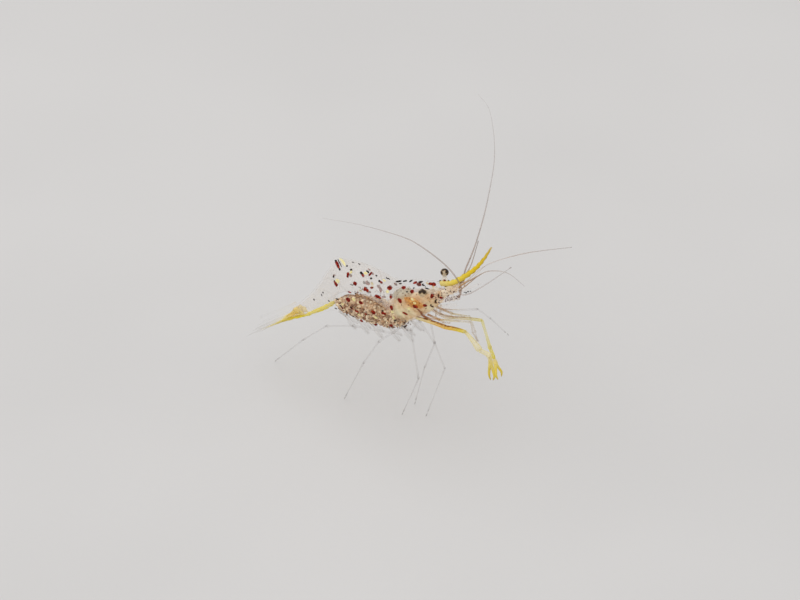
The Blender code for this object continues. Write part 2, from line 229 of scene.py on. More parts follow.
def bumps(tree, shader, height, depth):
    """Relief from a grey pattern, depth millimetres high."""
    made = add(tree, "Bump", {"Height": height, "Strength": 0.6, "Distance": depth * MM})
    dress(shader, Normal=made.outputs["Normal"])


def start_finish(name, roughness=0.3, **constants):
    """A new finish, its node tree and its shader."""
    finish = bpy.data.materials.new(name)
    finish.use_nodes = True
    shader = finish.node_tree.nodes["Principled BSDF"]
    dress(shader, Roughness=roughness, Specular_IOR_Level=0.2, **constants)
    return finish, finish.node_tree, shader


print("pattern helpers ready")

# %% [markdown]
# ## Floor and light
#
# The light is the flat, shadowless kind that suits clear things: a bright grey surround from all sides
# and one broad soft lamp, which only adds a little shape. The floor is tuned so that it is as bright as
# the surround, and no horizon shows from low viewpoints.

# %% Floor
FLOOR_SIZE = 6.0
FLOOR_TONES = ((0.645, 0.645, 0.645), (0.67, 0.67, 0.67))

# Matt and nearly white, with a breath of unevenness.
floor_finish, tree, shader = start_finish("pale_floor", 0.7)
dress(shader, Base_Color=ramp(tree, grain(tree, 60), (0.3, FLOOR_TONES[0]), (0.7, FLOOR_TONES[1])))
bumps(tree, shader, grain(tree, 0.8), 0.02)
tile = bmesh.new()
bmesh.ops.create_grid(tile, x_segments=2, y_segments=2, size=FLOOR_SIZE / 2)
floor_mesh = bpy.data.meshes.new("floor")
tile.to_mesh(floor_mesh)
tile.free()
floor_mesh.materials.append(floor_finish)
floor = bpy.data.objects.new("floor", floor_mesh)
floor.location.z = cad_box[0][2]
bpy.context.scene.collection.objects.link(floor)
print("floor ready, m across:", FLOOR_SIZE)

# %% Surround and lamp
SURROUND = (0.665, 0.645, 0.632)
CLEAR_LAYERS = 48  # how many clear walls, one behind another, can be seen through
LAMP_SIZE, LAMP_POWER = 3.2, 18.6
LAMP_PLACE = (-0.35, -0.45, 1.3)

surround = bpy.data.worlds.new("surround")
surround.use_nodes = True
put(surround.node_tree.nodes["Background"], "Color", SURROUND)
scene = bpy.context.scene
scene.world = surround
scene.view_settings.view_transform = "Standard"
scene.cycles.transparent_max_bounces = CLEAR_LAYERS

lamp_data = bpy.data.lights.new("soft_lamp", "AREA")
lamp_data.size = LAMP_SIZE
lamp_data.energy = LAMP_POWER
lamp = bpy.data.objects.new("soft_lamp", lamp_data)
lamp.location = LAMP_PLACE
lamp.rotation_euler = Vector(LAMP_PLACE).to_track_quat("Z", "Y").to_euler()
scene.collection.objects.link(lamp)
print("surround and lamp ready")

# %% [markdown]
# ## Making pieces
#
# Every piece starts as an empty bmesh in millimetres. Small builders add tubes, sheets and hairs to it,
# and paint a few numbers on its points, such as how near an edge they are, so that one finish can do
# different things along one piece. place_piece then turns it into an object on the CAD body.

# %% A piece on the body
def place_piece(name, shape, finish, slot, *nodes, shell=0.0):
    """Makes the piece, lets it ride on the body and stand for CAD nodes. shell thickens an open sheet."""
    for vertex in shape.verts:
        vertex.co = world(vertex.co)
    mesh = bpy.data.meshes.new(name)
    shape.to_mesh(mesh)
    shape.free()
    mesh.shade_smooth()
    mesh.materials.append(finish)
    piece = bpy.data.objects.new(name, mesh)
    bpy.context.scene.collection.objects.link(piece)
    if shell:
        wall = piece.modifiers.new("wall", "SOLIDIFY")
        wall.thickness = shell * MM
        wall.offset = -1
    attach(piece, "root")
    if nodes:
        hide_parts(*nodes)
    return piece


print("place_piece ready")

# %% Numbers along a line
def mix(a, b, t):
    """A value or a tuple of values, t of the way from a to b."""
    if isinstance(a, tuple):
        return tuple(mix(p, q, t) for p, q in zip(a, b))
    return a + (b - a) * t


def clamp(value, lowest=0.0, highest=1.0):
    """The value, held between lowest and highest."""
    return max(lowest, min(highest, value))


def bell(value, centre, reach):
    """1 at centre, falling away smoothly over reach."""
    return math.exp(-(((value - centre) / reach) ** 2))


def between_stops(stops, share):
    """The value at share, between (position, value) stops."""
    for (a, low_value), (b, high_value) in zip(stops, stops[1:]):
        if share <= b:
            return mix(low_value, high_value, (share - a) / (b - a))
    return stops[-1][1]


def shares_of(line):
    """The share of the way along a line at each of its points."""
    return [i / (len(line) - 1) for i in range(len(line))]


def read_along(values, shares):
    """Evenly spaced values, read at each share of the way along them."""
    stops = list(zip(shares_of(values), values))
    return [between_stops(stops, share) for share in shares]


print("half way from 1 to 3:", mix(1, 3, 0.5))

# %% Smooth paths
def spline(before, a, b, after, t):
    """The place t of the way from a to b on a smooth curve through all four."""
    square = (2 * before - 5 * a + 4 * b - after) * t**2
    cube = (3 * a - before - 3 * b + after) * t**3
    return 0.5 * (2 * a + (b - before) * t + square + cube)


def smooth_path(points, steps):
    """Points along one smooth curve through the given ones, steps to each span."""
    known = [Vector(point) for point in points]
    known = [2 * known[0] - known[1], *known, 2 * known[-1] - known[-2]]
    spans = zip(known, known[1:], known[2:], known[3:])
    return [spline(*span, step / steps) for span in spans for step in range(steps)] + [known[-2]]


def frames_along(path):
    """For each point of a path its run and two directions square to it that turn as little as they can."""
    runs = []
    for i in range(len(path)):
        runs.append((path[min(i + 1, len(path) - 1)] - path[max(i - 1, 0)]).normalized())
    side = runs[0].cross(Vector((0, 0, 1)))
    if side.length < 0.05:
        side = runs[0].cross(Vector((1, 0, 0)))
    side.normalize()
    made = []
    for run in runs:
        side = (side - run * side.dot(run)).normalized()
        made.append((run, side, side.cross(run)))
    return made


def around(count):
    """Evenly spaced angles for one turn."""
    return [math.tau * k / count for k in range(count)]


print("points on a path of three spans:", len(smooth_path(((0, 0, 0), (1, 0, 0), (2, 1, 0), (3, 1, 0)), 4)))

# %% Skins, tubes and needles
def skin(shape, rows, closed=False, caps=False, **paint):
    """Skins rows of points. Each keyword paints a number on the points, from one value for each."""
    layers = {key: shape.verts.layers.float.get(key) or shape.verts.layers.float.new(key) for key in paint}
    grid = [[shape.verts.new(point) for point in row] for row in rows]
    for key, values in paint.items():
        for row, numbers in zip(grid, values):
            for vertex, number in zip(row, numbers):
                vertex[layers[key]] = number
    for row, following in zip(grid, grid[1:]):
        count = len(row) if closed else len(row) - 1
        for i in range(count):
            j = (i + 1) % len(row)
            shape.faces.new((row[i], row[j], following[j], following[i]))
    if caps:
        shape.faces.new(grid[0][::-1])
        shape.faces.new(grid[-1])


def closed_skin(shape, rows, **paint):
    """A skin that closes on itself round each row, with a cap on both ends."""
    skin(shape, rows, closed=True, caps=True, **paint)


def tube(shape, path, radii, sides=10, flat=1.0, **paint):
    """A closed tube with one radius for each point. flat squeezes it along its second direction.

    A painted value is a list, one for each point, or a function of the point's number and the angle round.
    """
    path = [Vector(point) for point in path]
    rows, numbers = [], {key: [] for key in paint}
    turns = around(sides)
    for i, (point, (_, side, lift)) in enumerate(zip(path, frames_along(path))):
        ways = [side * math.cos(a) + lift * math.sin(a) * flat for a in turns]
        rows.append([point + way * radii[i] for way in ways])
        for key, values in paint.items():
            numbers[key].append([values(i, a) for a in turns] if callable(values) else [values[i]] * sides)
    closed_skin(shape, rows, **numbers)


def needle(shape, root, tip, radius, **paint):
    """A hair or spine: three sides that run to a point."""
    root, tip = Vector(root), Vector(tip)
    middle = root.lerp(tip, 0.5) + Vector((0, 0, 0.04)) * (tip - root).length
    values = {key: [number] * 3 for key, number in paint.items()}
    tube(shape, [root, middle, tip], [radius, radius * 0.75, radius * 0.12], sides=3, **values)


print("builders ready")

# %% [markdown]
# ## The clear shell
#
# A shrimp's trunk is a row of thin plates. The carapace is a saddle over head and chest. Behind it six
# rings overlap like roof tiles, except that the second ring's side flap lies over both its neighbours.
# Each plate follows ribs: the top of the back, the lower rim, the half width. Reading a plate from ribs
# keeps it on the CAD solid, and lets the edges be drawn as curves. The shell itself can hardly be seen,
# so its finish is nearly all hole: only where it turns away from the eye, and along its edges, does it
# show.

# %% Ribs of the trunk
# The top of the back and the lower rim of the side as (x, z), and the half width between them.
Rib = namedtuple("Rib", "back rim half")
CARAPACE_RIBS = (
    Rib((6.9, 22.25), (7.45, 20.6), 0.95), Rib((6.3, 22.4), (7.2, 19.9), 1.45),
    Rib((5.0, 22.2), (6.2, 18.8), 1.9), Rib((3.5, 21.8), (5.0, 17.6), 2.15),
    Rib((2.0, 21.25), (3.7, 16.75), 2.25), Rib((0.9, 20.85), (2.7, 16.25), 2.2),
    Rib((0.1, 20.55), (2.25, 16.05), 2.1),
)
ABDOMEN_RIBS = (
    Rib((0.0, 20.5), (2.1, 15.7), 2.05), Rib((-0.8, 20.55), (1.3, 14.9), 2.15),
    Rib((-3.7, 21.15), (-1.9, 14.2), 2.25), Rib((-8.8, 20.75), (-4.3, 13.9), 2.1),
    Rib((-11.05, 16.8), (-6.5, 13.7), 1.75), Rib((-12.5, 14.45), (-8.6, 13.35), 1.35),
    Rib((-15.1, 11.2), (-13.5, 10.2), 0.85),
)
ARCH = (0.1, 0.12, 0.35, 0.15, 0.05, 0.0)  # how far each ring's back bows out
LOBE = (0.25, 0.45, 0.4, 0.35, 0.3, 0.0)  # how far its side flap hangs below its ribs
print("trunk length, mm:", round((Vector(CARAPACE_RIBS[0].back) - Vector(ABDOMEN_RIBS[-1].back)).length, 1))

# %% Reading the ribs
WIDEST = 0.5  # share of the depth at which a rib is widest
SHOULDER = 0.55  # share of the way round at which it is reached
ROUND = 2.3  # power of the curve over the back
TUCK = 0.16  # how much the lower rim turns in


def on_rib(rib, turn, inset=0.0, raise_rim=0.0):
    """A point round a rib. turn is -1 at the right rim, 0 at the back and 1 at the left rim."""
    way = abs(turn)
    if way < SHOULDER:
        angle = way / SHOULDER * math.pi / 2
        depth = WIDEST * (1 - math.cos(angle) ** (2 / ROUND))
        share = math.sin(angle) ** (2 / ROUND)
    else:
        below = (way - SHOULDER) / (1 - SHOULDER)
        depth = WIDEST + (1 - WIDEST) * below
        share = 1 - TUCK * below**2
    back, rim = Vector(rib.back), Vector(rib.rim)
    down = (rim - back).normalized()
    place = back + down * inset * (1 - depth) + (rim - back) * depth * (1 - raise_rim)
    return Vector((place.x, math.copysign(max(rib.half - inset, 0.05) * share, turn), place.y))


def ring_rib(number, t, arch=0.0, lobe=0.0):
    """A rib of an abdomen ring, t of the way back. arch lifts its back and lobe drops its rim midway."""
    bow = math.sin(math.pi * clamp(t))
    rib = Rib(*(mix(a, b, t) for a, b in zip(ABDOMEN_RIBS[number - 1], ABDOMEN_RIBS[number])))
    back, rim = Vector(rib.back), Vector(rib.rim)
    down = (rim - back).normalized()
    return rib._replace(back=tuple(back - down * arch * bow), rim=tuple(rim + down * lobe * bow))


def turns_round(count, closed=False):
    """Even steps round a rib from its right rim to its left one. A closed round leaves the last one out."""
    return [2 * k / (count if closed else count - 1) - 1 for k in range(count)]


def rib_along(ribs, share):
    """A rib on the smooth run through all of ribs, share of the way from the first to the last."""
    numbers = [Vector((*rib.back, *rib.rim, rib.half)) for rib in ribs]
    place = clamp(share) * (len(ribs) - 1)
    i = min(int(place), len(ribs) - 2)
    near = (numbers[clamp(k, 0, len(ribs) - 1)] for k in (i - 1, i, i + 1, i + 2))
    found = spline(*near, place - i)
    return Rib((found[0], found[1]), (found[2], found[3]), found[4])


def way_out(point, rib):
    """The way out of the trunk at a point of a rib, square to the body's run."""
    return Vector((0, point.y, point.z - mix(rib.back[1], rib.rim[1], WIDEST))).normalized()


def hang_of(rib):
    """The way down a rib, from the back to the rim."""
    return Vector((rib.rim[0] - rib.back[0], 0, rib.rim[1] - rib.back[1])).normalized()


print("half width of the first ring, mm:", ring_rib(1, 0.5).half)

# %% Clear shell finish
SHELL_TINT = ((0.72, 0.68, 0.62), (0.92, 0.9, 0.86))
SHELL_WALL = 0.06  # its thickness
FAINT, RIM, EDGE = 0.03, 0.09, 0.045  # how much of it shows face on, turned away and along its edges

shell_finish, tree, shader = start_finish("clear_shell", 0.16, IOR=1.36)
cloud = grain(tree, 0.7)
away = times(tree, maths(tree, "POWER", facing(tree, 0.3), 2.2), RIM)
border = times(tree, painted(tree, "edge"), EDGE)
haze = times(tree, cloud, FAINT)
seen = plus(tree, plus(tree, away, border), haze, clamp=True)
dress(shader, Base_Color=blend(tree, cloud, *SHELL_TINT), Alpha=seen)
bumps(tree, shader, grain(tree, 0.12), 0.01)
print("clear shell finish ready")

# %% Carapace
CARAPACE_ROWS, CARAPACE_POINTS = 46, 61
REAR_FLARE = 0.07  # how far a plate's rear edge stands off the next plate
FRONT_BORDER, REAR_BORDER, SIDE_BORDER = 0.04, 0.035, 0.05  # breadth of the edges that show
shell_sheets = []  # outer faces of the plates, which the colour cells lie on


def shell_plate(node, rows, edges):
    """The plate that stands for one CAD node, from rows of points over its outer face."""
    shell_sheets.append(rows)
    shape = bmesh.new()
    skin(shape, rows, edge=edges)
    return place_piece(f"{node}_shell", shape, shell_finish, "shell_clear", node, shell=SHELL_WALL)


def front_edge(way):
    """How far the carapace's front edge stands forward."""
    eye_hollow = -0.7 * bell(way, 0.24, 0.1)
    spine = 0.6 * bell(way, 0.4, 0.035)
    lower_corner = -0.35 * clamp((way - 0.75) / 0.25) ** 2
    return eye_hollow + spine + lower_corner


def carapace_point(share, turn):
    """A point of the carapace, with its groove, crest and teeth. share runs from front to rear."""
    rib = rib_along(CARAPACE_RIBS, share)
    point = on_rib(rib, turn)
    way = abs(turn)
    neck_groove = -0.07 * bell(share, 0.36 + 0.25 * way, 0.05) * bell(way, 0.45, 0.3)
    crest = 0.16 * bell(turn, 0, 0.07) * clamp(1 - share / 0.45)
    tooth = 0.22 * bell(turn, 0, 0.035) * (bell(share, 0.3, 0.03) + bell(share, 0.17, 0.03))
    flare = REAR_FLARE * clamp((share - 0.9) / 0.1)
    point += way_out(point, rib) * (neck_groove + flare) + Vector((0.3, 0, 1)) * (crest + tooth)
    point.x += front_edge(way) * clamp(1 - share / 0.16) ** 2
    point.x -= 0.35 * clamp((share - 0.93) / 0.07)
    return point


def carapace_border(share, turn):
    """1 along the edges of the carapace and 0 away from them."""
    front, rear = clamp(1 - share / FRONT_BORDER), clamp((share - 1 + REAR_BORDER) / REAR_BORDER)
    return max(front, rear, clamp((abs(turn) - 1 + SIDE_BORDER) / SIDE_BORDER))


shares = shares_of(range(CARAPACE_ROWS))
turns = turns_round(CARAPACE_POINTS)
rows = [[carapace_point(share, turn) for turn in turns] for share in shares]
edges = [[carapace_border(share, turn) for turn in turns] for share in shares]
carapace = shell_plate("carapace", rows, edges)
print("carapace points:", len(carapace.data.vertices))

# %% Rings of the abdomen
RINGS = range(1, 7)
RING_ROWS, RING_POINTS = 17, 57
OVERLAP = 0.09  # share of a ring's length that lies over the next
FLAP_SPREAD = (-0.05, 0.24, 0.06, 0.06, 0.04, 0.0)  # how much wider each flap is at its rim than above
UPPER_FLAP, UPPER_LIFT = 2, 0.08  # the ring whose flap lies over its neighbours, and how far
RING_BORDER = 0.06


def ring_point(number, t, turn):
    """A point of an abdomen ring, t of the way to its rear."""
    down = clamp((abs(turn) - 0.5) / 0.5)
    spread = 1 + FLAP_SPREAD[number - 1] * down**0.7
    rib = ring_rib(number, 0.5 + (t - 0.5) * spread, ARCH[number - 1])
    lobe = LOBE[number - 1] * math.sin(math.pi * clamp(t)) ** 0.8 * down**3
    point = on_rib(rib, turn) + hang_of(rib) * lobe
    lift = mix(-0.03, REAR_FLARE, clamp(t))
    if number == UPPER_FLAP:
        lift += UPPER_LIFT * down
    return point + way_out(point, rib) * lift


def ring_border(t, turn):
    """1 along a ring's rear edge and its rims, and 0 away from them."""
    return max(clamp((t - 0.97) / RING_BORDER), clamp((abs(turn) - 1 + RING_BORDER) / RING_BORDER))


turns = turns_round(RING_POINTS)
for number in RINGS:
    rear_edge = 1 + OVERLAP * (number < RINGS[-1])
    steps = [mix(-0.02, rear_edge, share) for share in shares_of(range(RING_ROWS))]
    rows = [[ring_point(number, t, turn) for turn in turns] for t in steps]
    edges = [[ring_border(t, turn) for turn in turns] for t in steps]
    shell_plate(f"abdomen_ring_{number}", rows, edges)
print("rings:", len(RINGS))

# %% [markdown]
# ## What shows through the shell
#
# In a clear animal the inside is part of the outside. The chest is filled with cream tissue, and in it
# sit an olive stomach and an orange digestive gland. The abdomen's muscle is so clear that only its milky
# streaks show. These could be painted on the shell. Made as soft shapes inside it instead, with finishes
# that fade at their rims, they shift against the shell as the eye moves, as the real ones do.

# %% Finish for soft tissue
SCATTER_GLOW = 0.1  # painted glow: emission in the tissue's own colour, standing in for light that soaks into thin tissue and leaves it on every side


def mottled(tree, cloud, colours, start):
    """Colours at even steps through a cloud pattern, from start to as far from its other end."""
    places = [mix(start, 1 - start, share) for share in shares_of(colours)]
    return ramp(tree, cloud, *zip(places, colours))


def tissue_finish(name, colours, solid, thin, patch, tints=()):
    """Soft tissue in mottled colours, solid face on and thin at its rim, with a faint painted glow. tints
    colour what is painted.
    """
    # The emission is a painted glow in the tissue's own colour, standing in for light scattered through it.
    finish, tree, shader = start_finish(name, 0.45, IOR=1.38, Emission_Strength=SCATTER_GLOW)
    cloud = grain(tree, patch, 3.0)
    tone = mottled(tree, cloud, colours, 0.32)
    for key, colour in tints:
        tone = blend(tree, painted(tree, key), tone, colour)
    fade = ramp(tree, facing(tree, 0.5), (0.15, solid), (0.8, thin))
    depth = times(tree, fade, ramp(tree, cloud, (0.3, 0.75), (0.6, 1.0)))
    dress(shader, Base_Color=tone, Emission_Color=tone, Alpha=times(tree, depth, painted(tree, "fullness")))
    bumps(tree, shader, cloud, 0.05)
    return finish


print("tissue finish ready")

# %% Chest flesh
CREAM = ((0.56, 0.35, 0.17), (0.72, 0.52, 0.29), (0.82, 0.69, 0.46))
# The flesh's own ribs: its upper edge, its lower edge and its half width, from the head back.
FLESH_RIBS = (
    Rib((7.2, 22.15), (7.7, 20.35), 0.65), Rib((6.1, 21.55), (6.95, 19.3), 1.0),
    Rib((4.8, 21.0), (6.05, 18.35), 1.4), Rib((3.3, 20.35), (4.85, 17.3), 1.65),
    Rib((1.9, 19.7), (3.6, 16.45), 1.85), Rib((0.7, 18.9), (2.7, 15.95), 1.9),
    Rib((-0.4, 18.1), (1.8, 15.65), 1.85), Rib((-1.6, 17.2), (0.4, 15.3), 1.6),
    Rib((-2.6, 16.4), (-1.2, 15.1), 1.0),
)
# Tints of the flesh: a painted name, a colour, and patches as (x, z, half length, half depth).
CHEST_TINTS = (
    ("warm", (0.76, 0.33, 0.05), ((4.2, 19.4, 1.5, 0.6),)),
    ("pale", (0.82, 0.78, 0.5), ((1.9, 17.4, 1.0, 0.8), (6.4, 19.2, 0.7, 0.8), (3.4, 17.9, 0.8, 0.5))),
    ("rose", (0.74, 0.5, 0.38), ((6.9, 21.4, 0.9, 0.6), (0.2, 17.6, 0.8, 0.9))),
    ("brown", (0.4, 0.2, 0.09), ((4.6, 20.75, 1.5, 0.16), (5.0, 18.4, 0.7, 0.12), (1.6, 16.2, 0.9, 0.3))),
)
print("flesh ribs:", len(FLESH_RIBS))

# %% Chest
CHEST_ROWS, CHEST_POINTS = 36, 40
CORE_INSET, CORE_END = 0.45, 0.8  # the core lies this deep in the flesh, and ends at this share of it


def tint_strengths(points, spots):
    """How strongly each point is tinted by the nearest of the patches."""
    near = [[math.hypot((p.x - x) / long, (p.z - z) / deep) for p in points] for x, z, long, deep in spots]
    return [0.9 * clamp(1.4 - min(column)) for column in zip(*near)]


def place_flesh(name, finish, inset, last, topmost, sides):
    """A closed form through the flesh ribs up to share last, as solid as topmost and sides say."""
    rows, strengths = [], []
    for share in shares_of(range(CHEST_ROWS)):
        rib = rib_along(FLESH_RIBS, mix(0.0, last, share))
        rib = rib._replace(half=max(rib.half - inset, 0.3))
        rear = clamp((1 - mix(0.0, last, share)) / 0.45)
        row, strength = [], []
        for turn in turns_round(CHEST_POINTS, closed=True):
            point = on_rib(rib, turn * 0.999, inset=inset)
            centre = Vector((point.x, 0, point.z))
            row.append(centre + (point - centre) * (1 + 0.08 * noise(point * 1.3)))
            below = mix(1.0, 0.6, clamp((abs(turn) - 0.82) / 0.18))
            strength.append(mix(topmost, sides, clamp((abs(turn) - 0.12) / 0.4)) * rear * below)
        rows.append(row)
        strengths.append(strength)
    patches = {key: [tint_strengths(row, spots) for row in rows] for key, _, spots in CHEST_TINTS}
    shape = bmesh.new()
    closed_skin(shape, rows, fullness=strengths, **patches)
    place_piece(name, shape, finish, "shell_clear")


tints = [(key, colour) for key, colour, _ in CHEST_TINTS]
flesh_finish = tissue_finish("cream_flesh", CREAM, 0.88, 0.45, 0.55, tints)
place_flesh("chest_flesh", flesh_finish, 0.0, 1.0, 0.12, 0.84)
core_finish = tissue_finish("deep_flesh", ((0.78, 0.54, 0.3), (0.9, 0.74, 0.52)), 1.0, 0.8, 1.4)
place_flesh("chest_core", core_finish, CORE_INSET, CORE_END, 0.85, 0.95)
print("chest ready")

# %% Stomach and digestive gland
# Each is a path seen from the side as (x, z), its place beside the midline, and its girth along the path.
STOMACH = (((0.0, 18.3), (1.0, 18.8), (2.1, 19.3), (3.3, 19.6)), 0.0, (0.4, 0.85, 0.85, 0.4))
GLAND = (((2.6, 19.7), (3.6, 19.4), (4.7, 19.35), (5.6, 19.45)), 1.42, (0.35, 0.66, 0.62, 0.3))
LEFT_LOBE = (-0.9, -0.9, 0.6)  # how much further back and lower it lies, and its place beside the midline
OLIVES = ((0.47, 0.41, 0.29), (0.6, 0.54, 0.41))
ORANGES = ((0.46, 0.16, 0.02), (0.64, 0.29, 0.05), (0.76, 0.45, 0.16))
SAC_SIDES = 24


def sac(shape, path, beside, girths, lobes, flat=0.7):
    """A soft bag along a path, with rounded ends and an uneven wall. flat squeezes it sideways."""
    line = smooth_path([(x, beside, z) for x, z in path], 10)
    shares = [mix(0.01, 0.99, share) for share in shares_of(line)]
    rows = []
    girths = read_along(girths, shares)
    for point, (_, side, lift), t, girth in zip(line, frames_along(line), shares, girths):
        girth *= (1 - abs(2 * t - 1) ** 4) ** 0.5
        ways = [side * math.cos(a) * flat + lift * math.sin(a) for a in around(SAC_SIDES)]
        rows.append([point + way * girth * (1 + lobes * noise((point + way) * 1.6)) for way in ways])
    closed_skin(shape, rows, fullness=[[1.0] * SAC_SIDES] * len(rows))


shape = bmesh.new()
sac(shape, *STOMACH, 0.3, flat=1.3)
place_piece("stomach", shape, tissue_finish("olive_stomach", OLIVES, 0.8, 0.0, 1.2), "shell_clear")
shape = bmesh.new()
path, beside, girths = GLAND
back, drop, left_beside = LEFT_LOBE
sac(shape, path, -beside, girths, 0.5, flat=0.55)
sac(shape, [(x + back, z + drop) for x, z in path], left_beside, girths, 0.5, flat=0.55)
place_piece("digestive_gland", shape, tissue_finish("orange_gland", ORANGES, 0.8, 0.0, 0.45), "shell_clear")
print("stomach and gland ready")

# %% Muscle of the abdomen
MUSCLE_FLOOR = (0.85, 0.62, 0.47, 0.5, 0.48, 0.82, 0.97)  # how far down each rib it reaches
MUSCLE_INSET, MUSCLE_PINCH = 0.3, 0.06  # its depth under the shell, and how much deeper between two rings
MUSCLE_STEPS, MUSCLE_POINTS = 7, 36
MUSCLE_TONES = ((0.68, 0.63, 0.58), (0.78, 0.74, 0.7))
rows, strengths = [], []
turns = turns_round(MUSCLE_POINTS, closed=True)
for number in RINGS:
    for step in range(MUSCLE_STEPS + (number == RINGS[-1])):
        t = step / MUSCLE_STEPS
        rib = ring_rib(number, t, ARCH[number - 1])
        reach = mix(MUSCLE_FLOOR[number - 1], MUSCLE_FLOOR[number], t)
        inset = MUSCLE_INSET + MUSCLE_PINCH * bell(t, 0, 0.12)
        rows.append([on_rib(rib, turn, inset=inset, raise_rim=1 - reach) for turn in turns])
        strengths.append([0.8 + 0.2 * bell(t, 0, 0.1)] * MUSCLE_POINTS)
shape = bmesh.new()
closed_skin(shape, rows, fullness=strengths)
muscle_finish = tissue_finish("clear_muscle", MUSCLE_TONES, 0.26, 0.24, 0.35)
place_piece("abdomen_muscle", shape, muscle_finish, "shell_clear")
print("muscle rows:", len(rows))

# %% [markdown]
# ## The eggs
#
# She carries some hundreds of eggs between the side flaps, glued to her swimmerets. One lumpy form with a
# bumpy finish would pass from far off, but not beside a clear shell. So each egg here is its own small
# ellipsoid, set on the clutch's outside at an even spacing, over a brown core. Each shows its embryo's
# two eyes.

# %% The clutch as a form
CLUTCH_TOP = (0.97, 0.79, 0.63, 0.66, 0.62)  # share of each rib's depth at which the clutch begins
CLUTCH_BELLY = 1.06
CLUTCH_END, CLUTCH_TAPER = 4.6, 0.5  # where it ends, and how far its ends narrow, in rings
# Its half width at each share of its height, from the top down.
CLUTCH_SECTION = (
    (0, 0.2), (0.1, 0.42), (0.2, 0.65), (0.33, 0.88), (0.48, 1.0), (0.68, 0.98), (0.86, 0.8), (1, 0.35),
)


def clutch_point(along, height, side, inset):
    """A place on the clutch. along counts rings, height runs from top to belly, side from right to left."""
    number = int(along) + 1
    t = along - number + 1
    rib = ring_rib(number, t, ARCH[number - 1], LOBE[number - 1])
    top = mix(CLUTCH_TOP[number - 1], CLUTCH_TOP[min(number, 4)], t) + 0.02
    depth = mix(top, CLUTCH_BELLY, height)
    front_end = 0.45 + 0.55 * (number - 1 + t) / CLUTCH_TAPER
    rear_end = 0.35 + 0.65 * (CLUTCH_END - number + 1 - t) / CLUTCH_TAPER
    tucked = 1 - TUCK * clamp((depth - WIDEST) / (1 - WIDEST)) ** 2
    half = (rib.half * tucked - inset) * min(1, front_end, rear_end)
    place = Vector(rib.back).lerp(Vector(rib.rim), depth)
    return Vector((place.x, side * half * between_stops(CLUTCH_SECTION, height), place.y))


ends = [round(clutch_point(along, 0.5, 0, 0).x, 1) for along in (0, CLUTCH_END)]
print("clutch between x, mm:", ends)

# %% Places for the eggs
EGG_TRIES = 26000
EGG_GAP = 0.37  # nearest that two eggs' centres come
EGG_INSET = 0.36  # from the shell to an egg's centre
SHELL_SHARE = 0.62  # share of the tries that lie on the clutch's outside
EGGS_FROM, EGGS_TO = 0.08, 4.58  # the rings between which they lie
OPEN_TOP, OPEN_BELLY = 0.04, 0.93  # between these heights only the outside is filled


def spaced(places, gap):
    """Those of the places that are at least gap from every one kept before them."""
    kept = {}
    for place in places:
        key = tuple(int(value // gap) for value in place)
        beside = itertools.product(*((k - 1, k, k + 1) for k in key))
        if all((place - other).length >= gap for near in beside for other in kept.get(near, ())):
            kept.setdefault(key, []).append(place)
            yield place


chance = random.Random(7)
places = []
for _ in range(EGG_TRIES):
    along = chance.uniform(EGGS_FROM, EGGS_TO)
    height = chance.random() ** 0.9
    side = chance.choice((-1, 1)) * (1 if chance.random() < SHELL_SHARE else chance.random())
    if not OPEN_TOP <= height <= OPEN_BELLY or abs(side) == 1:
        places.append(clutch_point(along, height, side, EGG_INSET))
egg_places = list(spaced(places, EGG_GAP))
print("eggs:", len(egg_places))

# %% Single eggs
EGG_AXES, EGG_JITTER = (0.23, 0.21, 0.29), 0.03
EMBRYO_EYE = (0.05, 0.035, 0.06)


def random_way(chance):
    """Three numbers spread evenly over all directions."""
    return [chance.gauss(0, 1) for _ in range(3)]


def random_turn(chance):
    """A turn spread evenly over all turns."""
    return Quaternion((chance.gauss(0, 1), *random_way(chance))).normalized()


def ball(shape, centre, axes, turn=Quaternion(), rows=8, sides=12, **paint):
    """A closed ellipsoid. A painted value is a number, or a function of the direction from its centre."""
    grid, numbers = [], {key: [] for key in paint}
    for i in range(rows):
        polar = math.pi * (i + 0.35) / (rows - 0.3)
        ring, height = math.sin(polar), math.cos(polar)
        ways = [Vector((ring * math.cos(a), ring * math.sin(a), height)) for a in around(sides)]
        grid.append([centre + turn @ Vector(a * b for a, b in zip(way, axes)) for way in ways])
        for key, value in paint.items():
            numbers[key].append([value(way) if callable(value) else value for way in ways])
    closed_skin(shape, grid, **numbers)


eggs, eyes = bmesh.new(), bmesh.new()
for place in egg_places:
    turn = random_turn(chance)
    age = chance.random()
    centre = place + Vector(chance.gauss(0, EGG_JITTER) for _ in range(3))
    ball(eggs, centre, EGG_AXES, turn, 7, 10, tone=age, pole=lambda way: 0.5 + 0.5 * way.z)
    for sign in SIDES.values():
        way = Vector((sign * 0.75, 0.25, 0.62)).normalized()
        spot = centre + turn @ Vector(a * b for a, b in zip(way, EGG_AXES))
        ball(eyes, spot, EMBRYO_EYE, turn, 4, 6)
print("egg and eye points:", len(eggs.verts), len(eyes.verts))

# %% Finish of the eggs
YOLKS = ((0.05, (0.26, 0.12, 0.06)), (0.35, (0.6, 0.38, 0.22)), (0.95, (0.92, 0.77, 0.53)))
EGG_CLEARED, EGG_STREAK = (0.84, 0.7, 0.5), (0.24, 0.11, 0.05)
EMBRYO_EYES = ((0.3, (0.015, 0.008, 0.006)), (0.7, (0.09, 0.03, 0.02)))
